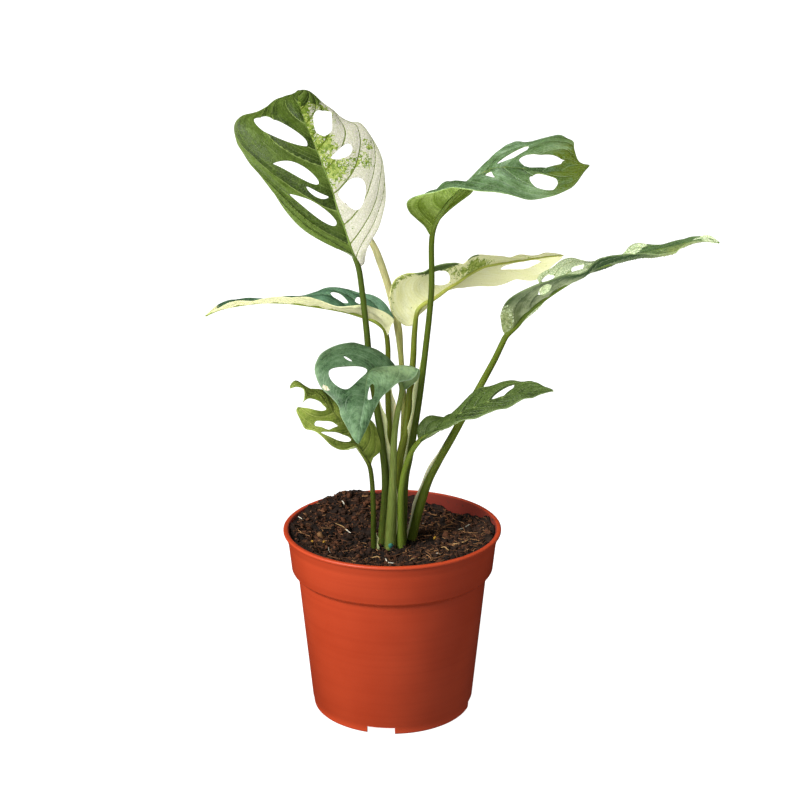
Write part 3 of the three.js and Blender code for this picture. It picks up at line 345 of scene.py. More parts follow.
        left_holes=[(0.653, 0.029, 0.04, 0.7, 0.048, -0.75, 0.019, 0.8)],
    ),
}

FURLED = dict(
    path=[(3.2, 1.7, STALK_FOOT), (3.2, 1.7, 84), (5.5, 4, 140), (5.5, 7, 154),
          (4.5, 12, 170), (4, 14, 176), (3, 17, 186), (1, 19, 195.5), (-2, 20, 207.5),
          (-6, 21, 219.5), (-9.5, 22, 227.5), (-16.5, 24, 237.5), (-22.5, 26, 246)],
    radii=(1.8, 1.75, 1.5, 1.35, 1.3, 1.35, 1.9, 1.7, 1.75, 1.8, 1.5, 1.0, 0.4),
)
# Colours of stalks: at the foot, at the blade, along the rib and on pale wings
FURLED_COLOURS = ((92, 104, 44), (168, 168, 92), (196, 192, 124), (204, 200, 140))
STEM_COLOUR = (92, 104, 50)


# Curves

def unit(vectors):
    return vectors / np.maximum(np.linalg.norm(vectors, axis=1), 1e-9)[:, None]


def polar(radius, angle):
    return radius * math.cos(angle), radius * math.sin(angle)


class Curve:
    """A smooth line through points, read by the share of its length."""

    def __init__(self, points):
        self.points = np.array(points, float)
        self.knots = np.linspace(0, 1, CURVE_DIVISIONS + 1)
        steps = np.linalg.norm(np.diff(self.through(self.knots), axis=0), axis=1)
        lengths = np.concatenate([[0], np.cumsum(steps)])
        self.length = lengths[-1]
        self.shares = lengths / self.length

    def through(self, place):
        points = self.points
        last = len(points) - 1
        spot = np.clip(place, 0, 1) * last
        index = np.minimum(spot.astype(int), last - 1)
        part = (spot - index)[:, None]
        before = np.where((index == 0)[:, None], 2 * points[0] - points[1],
                          points[np.maximum(index - 1, 0)])
        after = np.where((index == last - 1)[:, None], 2 * points[last] - points[last - 1],
                         points[np.minimum(index + 2, last)])
        start = points[index]
        end = points[index + 1]
        slope_in = (end - before) / 2
        slope_out = (after - start) / 2
        return ((2 * start - 2 * end + slope_in + slope_out) * part ** 3
                + (3 * end - 3 * start - 2 * slope_in - slope_out) * part ** 2
                + slope_in * part + start)

    def at(self, share):
        return self.through(np.interp(share, self.shares, self.knots))

    def heading(self, share):
        step = 0.002
        return unit(self.at(np.clip(share + step, 0, 1)) - self.at(np.clip(share - step, 0, 1)))


class Spine:
    """The one line of a stalk and its midrib, with the blade's start on it."""

    def __init__(self, leaf):
        petiole = leaf["petiole"]
        foot = (petiole[0][0], petiole[0][1], STALK_FOOT)
        self.curve = Curve([foot, *petiole, *leaf["rib"]])
        place = (len(petiole) + 1) / (len(self.curve.points) - 1)
        self.joint = float(np.interp(place, self.curve.knots, self.curve.shares))
        self.rib_length = self.curve.length * (1 - self.joint)

    def along(self, s):
        return self.joint + (1 - self.joint) * s


class HalfBlade:
    """One side of a blade: s runs along the rib from 0 to 1 and t out to the margin."""

    def __init__(self, leaf, spine, side):
        self.leaf = leaf
        self.spine = spine
        self.side = side
        self.sign = 1 if side == "left" else -1
        self.margin = Curve(leaf[side])
        s = np.linspace(0.05, 0.95, 30)
        spread = self.edge(s) - spine.curve.at(spine.along(s))
        self.width = float(np.linalg.norm(spread, axis=1).max())

    def edge(self, s):
        lean = self.leaf.get("lean", BLADE_LEAN)
        return self.margin.at(s + lean * s * (1 - s))

    def surface(self, s, t):
        bulge = self.leaf.get("bulge", BLADE_BULGE)
        rib = self.spine.curve.at(self.spine.along(s))
        forward = self.spine.curve.heading(self.spine.along(s))
        edge = self.edge(s)
        across = edge - rib
        width = np.linalg.norm(across, axis=1)[:, None]
        up = unit(np.cross(forward, across)) * self.sign
        middle = (rib + edge) / 2 + 2 * bulge * width * up - BLADE_ARCH * width * forward
        t = t[:, None]
        sheet = (1 - t) ** 2 * rib + 2 * t * (1 - t) * middle + t ** 2 * edge
        turn = 5 * s + (0.2 if self.sign > 0 else 0.6)
        fade = np.minimum(1, 5 * s * (1 - s)) * t[:, 0] ** 2
        sheet = sheet + (MARGIN_WAVE * fade * np.sin(2 * np.pi * turn))[:, None] * up
        for side, place, along, out, reach, shift in self.leaf.get("swells", []):
            if side == self.side:
                away = ((s - place) / along) ** 2 + ((t[:, 0] - out) / reach) ** 2
                grow = np.exp(-away) * np.minimum(1, 5 * t[:, 0])
                sheet = sheet + grow[:, None] * np.array(shift, float)
        return sheet

    def normal(self, s, t):
        step = 0.01
        low = np.clip(t - step, 0, 1 - 2 * step)
        along = self.surface(np.clip(s + step, 0, 1), t) - self.surface(np.clip(s - step, 0, 1), t)
        outward = self.surface(s, low + 2 * step) - self.surface(s, low)
        return unit(np.cross(along, outward)) * self.sign

    def vein_place(self, s, t):
        """Which lateral vein a spot lies at, whole numbers being veins, and their spacing."""
        root = s - (0.1 * t + 0.12 * t ** 3 + 0.5 * np.maximum(0, t - 0.72) ** 2)
        even = np.arange(0.5, VEIN_COUNT) / VEIN_COUNT
        roots = np.array([-0.3, *self.leaf.get(self.side + "_veins", even), 1.3])
        place = np.interp(root, roots, np.arange(len(roots)))
        gap = np.diff(roots)[np.clip(place.astype(int), 0, len(roots) - 2)]
        return place, np.minimum(gap, 0.25) * self.spine.rib_length


def hole_outline(hole):
    """A leaf hole: tapered, bent and more or less pointed, in blade shares."""
    place, half_width, inner, outer, slant, taper, bend, point = hole
    angle = np.linspace(0, 2 * np.pi, HOLE_POINTS, endpoint=False)
    reach = np.sign(np.cos(angle)) * np.abs(np.cos(angle)) ** point
    wide = np.sign(np.sin(angle)) * np.abs(np.sin(angle)) ** point
    s = place + half_width * wide * (1 + taper * reach) + slant * reach
    s = s + bend * (1 - reach ** 2)
    return np.stack([s, (inner + outer) / 2 + (outer - inner) / 2 * reach], 1)


def inside(outline, spots):
    """Which spots lie in a closed outline, by counting crossings."""
    x, y = spots[:, 0], spots[:, 1]
    hit = np.zeros(len(spots), bool)
    for a, b in zip(outline, np.roll(outline, -1, axis=0)):
        crosses = (a[1] > y) != (b[1] > y)
        rise = b[1] - a[1]
        if abs(rise) > 1e-12:
            hit ^= crosses & (x < (b[0] - a[0]) * (y - a[1]) / rise + a[0])
    return hit


def flat_blade(half):
    """Triangulates a half blade's (s, t) square with its holes left out."""
    length, width = half.spine.rib_length, half.width
    scale = np.array([length, width])
    rows = max(12, round(length / MESH_STEP))
    columns = max(6, round(width / MESH_STEP))
    s = np.linspace(BLADE_START, BLADE_END, rows + 1)
    t = np.linspace(0, 1, columns + 1)
    grid = np.stack(np.meshgrid(s, t, indexing="ij"), -1).reshape(-1, 2) * scale
    rim = (grid[:, 1] < 1e-6) | (grid[:, 1] > width - 1e-6)
    keep = np.ones(len(grid), bool)
    outlines = [hole_outline(hole) * scale for hole in half.leaf.get(half.side + "_holes", [])]
    for outline in outlines:
        apart = np.linalg.norm(grid[:, None] - outline[None], axis=2).min(axis=1)
        keep &= (apart > 0.45 * MESH_STEP) & ~inside(outline, grid) | rim
    spots = [Vector(p) for p in grid[keep]]
    edges = []
    for outline in outlines:
        first = len(spots)
        spots += [Vector(p) for p in outline]
        edges += [(first + i, first + (i + 1) % HOLE_POINTS) for i in range(HOLE_POINTS)]
    made = delaunay_2d_cdt(spots, edges, [], 0, 1e-5)
    points = np.array([tuple(p) for p in made[0]])
    faces = np.array(made[2])
    middles = points[faces].mean(axis=1)
    solid = (middles[:, 1] < width) & (middles[:, 1] > 0)
    solid &= (middles[:, 0] > BLADE_START * length) & (middles[:, 0] < BLADE_END * length)
    for outline in outlines:
        solid &= ~inside(outline, middles)
    used, faces = np.unique(faces[solid], return_inverse=True)
    return points[used] / scale, faces.reshape(-1, 3)


# Mesh gathering: parts of one piece, with the values that its materials read

class Build:
    """Collects vertices, faces, materials and named values for one object."""

    def __init__(self, *values):
        self.points = []
        self.faces = []
        self.slots = []
        self.values = {name: [] for name in values}
        self.maps = []
        self.count = 0

    def add(self, points, faces, slot=0, flat=None, **values):
        points = np.asarray(points, float)
        self.points.append(points)
        self.faces += [tuple(int(i) + self.count for i in face) for face in faces]
        self.slots += [slot] * len(faces)
        for name, gathered in self.values.items():
            given = np.asarray(values.get(name, 0.0), float)
            gathered.append(np.broadcast_to(given, len(points)))
        self.maps.append(np.zeros((len(points), 2)) if flat is None else flat)
        self.count += len(points)

    def finish(self, name, materials, sharp=40.0):
        made = plain_mesh(name, np.concatenate(self.points), self.faces)
        mesh = made.data
        for material in materials:
            mesh.materials.append(material)
        mesh.polygons.foreach_set("material_index", self.slots)
        for value_name, gathered in self.values.items():
            add_values(mesh, value_name, np.concatenate(gathered))
        uv = mesh.uv_layers.new(name="UVMap")
        corners = np.zeros(len(mesh.loops), int)
        mesh.loops.foreach_get("vertex_index", corners)
        uv.data.foreach_set("uv", np.concatenate(self.maps)[corners].ravel())
        mesh.validate()
        smooth(mesh, sharp)
        return made


def plain_mesh(name, points, faces):
    mesh = bpy.data.meshes.new(name)
    mesh.from_pydata((np.asarray(points, float) * MM).tolist(), [], faces)
    mesh.update()
    made = bpy.data.objects.new(name, mesh)
    bpy.context.collection.objects.link(made)
    return made


def add_values(mesh, name, values):
    """One number for each vertex, which a material reads by its name."""
    layer = mesh.attributes.new(name, "FLOAT", "POINT")
    layer.data.foreach_set("value", values.astype(float))


def smooth(mesh, sharp):
    """Smooth shading, except over edges of more than sharp degrees."""
    mesh.polygons.foreach_set("use_smooth", [True] * len(mesh.polygons))
    mesh.update()
    mesh.set_sharp_from_angle(angle=math.radians(sharp))


def tube_faces(rows, around):
    """Faces of rows of rings, closed by a face over each end."""
    faces = []
    for i in range(rows - 1):
        for j in range(around):
            a, b = i * around + j, i * around + (j + 1) % around
            faces.append((a, b, b + around, a + around))
    faces.append(tuple(range(around))[::-1])
    faces.append(tuple(range((rows - 1) * around, rows * around)))
    return faces


def turned_faces(rows, around):
    """Faces of rows of rings, closed by two middle points that come after them."""
    faces = []
    last = (rows - 1) * around
    for j in range(around):
        k = (j + 1) % around
        faces.append((rows * around, k, j))
        for a in range(0, last, around):
            faces.append((a + j, a + k, a + around + k, a + around + j))
        faces.append((rows * around + 1, last + j, last + k))
    return faces


def rim_edges(faces):
    """The edges that only one triangle has, in that triangle's direction."""
    sides = np.concatenate([faces[:, [0, 1]], faces[:, [1, 2]], faces[:, [2, 0]]])
    keys = {tuple(side) for side in sides.tolist()}
    return [(a, b) for a, b in keys if (b, a) not in keys]


def add_half_blade(build, leaf, spine, side):
    """Both skins of a half blade, raised between its veins, and the rim that joins them."""
    half = HalfBlade(leaf, spine, side)
    spots, faces = flat_blade(half)
    s, t = spots[:, 0], spots[:, 1]
    points = half.surface(s, t)
    normals = half.normal(s, t)
    place, spacing = half.vein_place(s, t)
    phase = place - np.floor(place)
    fade = np.clip(t / 0.1, 0, 1) * (1 - 0.75 * t ** 4) * np.minimum(1, 6 * s * (1 - s))
    quilt = np.abs(np.sin(np.pi * phase)) ** 0.7 - 0.6
    relief = leaf.get("relief", {}).get(side, BLADE_RELIEF) * np.minimum(spacing, 16) * fade
    points = points + normals * (relief * quilt)[:, None]
    corner = points[faces]
    facing = np.cross(corner[:, 1] - corner[:, 0], corner[:, 2] - corner[:, 0])
    if (facing * normals[faces[:, 0]]).sum() < 0:
        faces = faces[:, ::-1]
    lift = normals * BLADE_THICKNESS / 2
    count = len(points)
    rim = [(a, a + count, b + count, b) for a, b in rim_edges(faces)]
    skin = [tuple(f) for f in faces] + [tuple(f[::-1] + count) for f in faces] + rim
    flat = np.stack([place, t * half.width / 10], 1)
    shades = {kind: np.tile(variegation(leaf, side, s, t, kind), 2) for kind in SHADES}
    edge = np.tile(np.clip((t - MARGIN_LIGHT) / (1 - MARGIN_LIGHT), 0, 1), 2)
    build.add(np.concatenate([points + lift, points - lift]), skin, flat=np.tile(flat, (2, 1)),
              upper=np.repeat([1.0, 0.0], count), edge=edge, spacing=np.tile(spacing, 2),
              **shades)


def variegation(leaf, side, s, t, kind):
    """Sum of the soft patches that LOOKS gives for one side."""
    total = np.full(len(s), float(leaf.get(kind + "_base", {}).get(side, 0.0)))
    for patch_side, place, along, out, across, amount in leaf.get(kind, []):
        if patch_side == side:
            away = ((s - place) / along) ** 2 + ((t - out) / across) ** 2
            total = total + amount * np.exp(-away)
    return total


def add_tube(build, centres, forward, radii, slot, sides=16, **values):
    """A round tube through centres, closed at both ends."""
    side = np.array([1.0, 0, 0])
    angle = np.linspace(0, 2 * np.pi, sides, endpoint=False)[:, None]
    rings = []
    for centre, ahead, radius in zip(centres, forward, radii):
        side = side - side.dot(ahead) * ahead
        side /= np.linalg.norm(side)
        ring = np.cos(angle) * side + np.sin(angle) * np.cross(ahead, side)
        rings.append(centre + radius * ring)
    count = len(rings)
    spread = {name: np.repeat(np.broadcast_to(value, count), sides)
              for name, value in values.items()}
    turns = np.tile(np.arange(sides) / sides, count)
    lengths = np.repeat(np.arange(count) / 10, sides)
    build.add(np.concatenate(rings), tube_faces(count, sides), slot,
              np.stack([turns, lengths], 1), **spread)


def stalk_radii(leaf, share):
    """Radii from the foot of a stalk, where share is 0, to its blade."""
    foot, joint = leaf["stalk"]
    return foot + (joint - foot) * share ** 0.8


def add_stalk(build, leaf, spine):
    """The stalk up to the blade, and the midrib on to the tip."""
    curve = spine.curve
    share = np.linspace(0, 1, round(curve.length / STALK_STEP))
    joint = leaf["stalk"][1]
    low = np.clip(share / spine.joint, 0, 1)
    s = np.clip((share - spine.joint) / (1 - spine.joint), 0, 1)
    radii = np.where(s > 0, joint + (RIB_TIP_RADIUS - joint) * s ** 0.6, stalk_radii(leaf, low))
    centres = curve.at(share)
    # Stalks broaden into their sheaths towards the soil
    radii = radii * np.interp(centres[:, 2], [82, 122], [1 + leaf.get("swell", 0.0), 1])
    forward = curve.heading(share)
    left, right = [HalfBlade(leaf, spine, side).edge(s) for side in ("left", "right")]
    up = unit(np.cross(forward, left - right))
    sink = 0.45 * radii * np.clip(s * 12, 0, 1)
    add_tube(build, centres - up * sink[:, None], forward, radii, slot=1, along=low + s)


def add_sheath(build, leaf, spine, low, high, angle, reach):
    """A thin wing along the stalk between two heights, the dry edge of a leaf sheath."""
    shares = np.linspace(0, spine.joint, 400)
    heights = spine.curve.at(shares)[:, 2]
    share = shares[(heights > low) & (heights < high)][::4]
    forward = spine.curve.heading(share)
    radii = stalk_radii(leaf, share / spine.joint)
    out = np.array([*polar(1, math.radians(angle)), 0])
    out = unit(out - (forward @ out)[:, None] * forward)
    flat = np.cross(forward, out)
    place = np.linspace(0, 1, len(share))
    swell = np.minimum(1, 4.5 * np.minimum(place, 1 - place)) ** 0.7
    width = reach * swell * (0.8 + 0.2 * np.sin(place * 19))
    middle = spine.curve.at(share) + out * (radii * 0.85 + width * 0.35)[:, None]
    middle += flat * (0.3 * np.sin(place * 11))[:, None]
    turns = np.linspace(0, 2 * np.pi, SHEATH_SIDES, endpoint=False)
    around = turns[None, :, None]
    rings = middle[:, None] + (np.cos(around) * (out * (width * 0.65)[:, None])[:, None]
                               + np.sin(around) * (flat * (0.28 * swell)[:, None])[:, None])
    count = len(share)
    flat_map = np.stack([np.tile(turns, count), np.repeat(place * 6, SHEATH_SIDES)], 1)
    pale = np.clip(np.tile(0.55 + 0.6 * np.cos(turns), count), 0, 1)
    build.add(rings.reshape(-1, 3), tube_faces(count, SHEATH_SIDES), 1, flat_map,
              along=0.3, pale=pale)


# Material nodes

def linear(colour, gain=1.0):
    """A display colour as a linear one with alpha, made brighter by gain."""
    shares = np.array(colour) / 255
    light = np.where(shares <= 0.04045, shares / 12.92, ((shares + 0.055) / 1.055) ** 2.4)
    return (*[float(v) for v in np.minimum(light * gain, 0.95)], 1.0)


def grey(level):
    return (level, level, level, 1)


class Value:
    """An output of a node that can be used in a sum."""

    def __init__(self, nodes, socket):
        self.nodes = nodes
        self.socket = socket

    def __add__(self, other):
        return self.nodes.math("ADD", self, other)

    def __sub__(self, other):
        return self.nodes.math("SUBTRACT", self, other)

    def __rsub__(self, other):
        return self.nodes.math("SUBTRACT", other, self)

    def __mul__(self, other):
        return self.nodes.math("MULTIPLY", self, other)

    def __truediv__(self, other):
        return self.nodes.math("DIVIDE", self, other)


class Nodes:
    """Short names for the shader nodes that the materials share."""

    def __init__(self, name):
        self.material = bpy.data.materials.new(name)
        self.material.use_nodes = True
        self.tree = self.material.node_tree
        self.shader = self.tree.nodes["Principled BSDF"]

    def new(self, kind, inputs, output, **settings):
        """A node with its inputs set or linked, and the value of one output."""
        node = self.tree.nodes.new(kind)
        for key, value in settings.items():
            setattr(node, key, value)
        for key, value in inputs.items():
            self.link(value, node.inputs[key])
        return Value(self, node.outputs[output])

    def link(self, value, socket):
        if isinstance(value, Value):
            self.tree.links.new(value.socket, socket)
        else:
            socket.default_value = value

    def shade(self, **values):
        """Sets inputs of the shader, named with _ for a space."""
        for key, value in values.items():
            self.link(value, self.shader.inputs[key.replace("_", " ")])

    def value(self, name):
        return self.new("ShaderNodeAttribute", {}, "Fac", attribute_name=name)

    def math(self, operation, first, second=0.0):
        return self.new("ShaderNodeMath", {0: first, 1: second}, 0, operation=operation)

    def step(self, value, low, high, to_low=0.0, to_high=1.0):
        inputs = {"Value": value, "From Min": low, "From Max": high,
                  "To Min": to_low, "To Max": to_high}
        return self.new("ShaderNodeMapRange", inputs, "Result",
                        interpolation_type="SMOOTHSTEP")

    def mix(self, share, first, second, blend="MIX"):
        inputs = {"Factor": share, "A": first, "B": second}
        return self.new("ShaderNodeMix", inputs, "Result", data_type="RGBA", blend_type=blend)

    def layers(self, colour, *layers):
        """Lays colours over a first one, each by its share."""
        for share, over in layers:
            colour = self.mix(share, colour, over)
        return colour

    def spot(self, source="Object"):
        return self.new("ShaderNodeTexCoord", {}, source)

    def noise(self, scale, detail=3.0, stretch=None, roughness=0.55, source="Object"):
        spot = self.spot(source)
        if stretch:
            spot = self.new("ShaderNodeMapping", {"Scale": stretch, "Vector": spot}, "Vector")
        inputs = {"Vector": spot, "Scale": scale, "Detail": detail, "Roughness": roughness}
        return self.new("ShaderNodeTexNoise", inputs, "Fac")

    def cells(self, scale):
        """Voronoi cells with a random share for each."""
        colour = self.new("ShaderNodeTexVoronoi", {"Vector": self.spot(), "Scale": scale},
                          "Color")
        return self.new("ShaderNodeSeparateColor", {0: colour}, 0)

    def cell_edges(self, scale):
        """The distance to the edges of voronoi cells."""
        return self.new("ShaderNodeTexVoronoi", {"Vector": self.spot(), "Scale": scale},
                        "Distance", feature="DISTANCE_TO_EDGE")

    def bump(self, height, strength, distance):
        inputs = {"Height": height, "Strength": strength, "Distance": distance}
        self.shade(Normal=self.new("ShaderNodeBump", inputs, "Normal"))

    def finish(self, colour, roughness, specular):
        self.shade(Base_Color=colour, Roughness=roughness, Specular_IOR_Level=specular)
        return self.material


def vein_lines(n, place, spacing, parts, low, high):
    """1 on lines at each whole number of place * parts, soft from low to high mm."""
    phase = n.math("FRACT", place * parts)
    away = 0.5 - n.math("ABSOLUTE", phase - 0.5)
    return n.step(away * (spacing / parts), low, high, 1, 0)


def blade_material(name, palette):
    """Upper and lower skin of a blade, with veins, pale parts, flecks and net."""
    n = Nodes(name)

    # Gains brighten a leaf's colours, partly for its own tone and partly as painted light
    def hue(key):
        return linear(palette[key], palette["under_gain" if "under" in key else "gain"])

    wander = n.noise(45.0, 2.0)
    mottle = n.noise(110.0, 4.0)
    fine = n.noise(480.0, 4.0, roughness=0.65)
    streaks = n.noise(3.0, 4.0, (3.4, 0.5, 1.0), source="UV")
    place = n.new("ShaderNodeSeparateXYZ", {0: n.spot("UV")}, 0) + (wander - 0.5) * 0.22
    spacing = n.value("spacing")
    main = vein_lines(n, place, spacing, 1, 0.16, 0.6)
    side_lines = vein_lines(n, place, spacing, 4, 0.05, 0.4) * n.step(streaks, 0.35, 0.7)
    net = n.step(n.cell_edges(760.0), 0.02, 0.16, 1, 0)
    cell = n.cells(820.0) * 0.55 + n.cells(2100.0) * 0.45
    # Pale parts end along the streaks of the blade, with a few stray cells
    border = streaks * 0.55 + mottle * 0.6 + cell * 0.4
    pale = n.step(n.value("pale") + (border - 0.78), 0.42, 0.56)
    flecks = n.step(n.value("fleck") + (mottle - 0.5) * 0.9 - cell, -0.04, 0.06)
    # Painted fold shade: green runs from dark just past a vein to light before the next one
    phase = n.math("FRACT", place)
    rise = n.step(phase, 0.05, 0.9) * n.step(phase, 0.97, 1.0, 1, 0)
    valley = palette["valley"]
    tone = rise * valley + n.step(mottle, 0.25, 0.75) * (1 - valley)
    tone = tone + (fine - 0.5) * 0.9 + (streaks - 0.5) * 1.1
    green = n.layers(
        n.mix(n.step(tone, 0.0, 0.5), hue("dark"), hue("green")),
        (n.step(tone, 0.45, 1.0), hue("light")),
        (n.value("warm") * n.step(fine, 0.2, 0.6), hue("warm")),
        # Painted shade: dark patches along ribs, creases and folds
        (n.value("dark") * n.step(mottle, 0.2, 0.55), hue("dark")),
        (main * palette["vein_share"], hue("vein")),
        (side_lines * (0.6 * palette["vein_share"]), hue("vein")),
        (net * 0.12, hue("vein")))
    cream = n.layers(
        n.mix(n.step(streaks, 0.3, 0.7), hue("cream"), hue("ivory")),
        (net * palette["net_share"], hue("net")),
        (side_lines * (0.6 * palette["net_share"]), hue("net")),
        (flecks, n.mix(n.step(n.cells(900.0), 0.3, 0.7), hue("fleck"), hue("fleck_light"))),
        (main * palette["cream_vein_share"], hue("cream_vein")))
    under = n.layers(
        n.mix(n.step(tone, 0.1, 0.9), hue("under"), hue("under_light")),
        # Painted shade on the underside from the same dark patches
        (n.value("dark") * 0.8, hue("dark")),
        (n.value("warm") * 0.8, hue("warm")),
        (main * 0.45, hue("under_vein")),
        (side_lines * 0.3, hue("under_vein")),
        (pale, n.mix(0.12, cream, hue("under_light"))))
    margin = n.mix(pale, hue("vein"), hue("cream_vein"))
    colour = n.mix(n.value("upper"), under, n.mix(pale, green, cream))
    colour = n.mix(n.value("edge") * palette["edge_share"], colour, margin)
    ridge = (main * -0.9 + side_lines * -0.4 + net * -0.25) * palette["ridge"]
    n.bump(ridge + (fine * 0.7 + mottle * 1.6), 0.5, 0.0006)
    n.shade(Subsurface_Weight=0.12, Subsurface_Radius=(0.8, 1.0, 0.45),
            Subsurface_Scale=0.0016)
    gloss = n.step(mottle, 0.2, 0.8, 0.38, 0.5)
    return n.finish(colour, n.mix(n.value("upper"), grey(0.62), gloss), 0.22)


def stalk_material(name, low, high, rib, pale):
    """Stalk colours from the foot, low, to the blade, high, then the rib; pale on wings."""
    n = Nodes(name)
    streaks = n.noise(20.0, 3.0, (3.0, 0.12, 1.0), source="UV")
    mottle = n.noise(160.0, 3.0)
    along = n.value("along")
    colour = n.mix(n.step(along, 0.0, 1.0), linear(low), linear(high))
    colour = n.layers(colour, (n.step(along, 1.0, 1.15), linear(rib)),
                      (n.value("pale"), linear(pale)))
    shade = n.mix(n.step(streaks, 0.3, 0.7), (0.9, 0.92, 0.85, 1), (1.75, 1.7, 1.9, 1))
    n.bump(streaks, 0.2, 0.0005)
    n.shade(Subsurface_Weight=0.08, Subsurface_Scale=0.001)
    return n.finish(n.mix(1.0, colour, shade, "MULTIPLY"), n.step(mottle, 0.2, 0.8, 0.36, 0.48),
                    0.2)


# Colours that a leaf doesn't change, with the shares of its veins, net, margin and painted shade
# gain and under_gain are partly the leaf's own tone, partly painted light on each skin
PALETTE = dict(
    green=(88, 114, 56), light=(116, 140, 78), dark=(58, 80, 28), vein=(144, 164, 104),
    warm=(118, 140, 40), cream=(212, 212, 180), ivory=(226, 225, 202), net=(168, 176, 124),
    cream_vein=(132, 144, 74), fleck=(112, 136, 52), fleck_light=(168, 182, 102),
    under=(112, 126, 88), under_light=(138, 150, 112), under_vein=(150, 160, 120),
    valley=0.4, vein_share=0.45, net_share=0.5, cream_vein_share=0.8, gain=1.05,
    under_gain=1.0, ridge=1.0, edge_share=0.26)
SHEATH_PALE = (190, 196, 140)
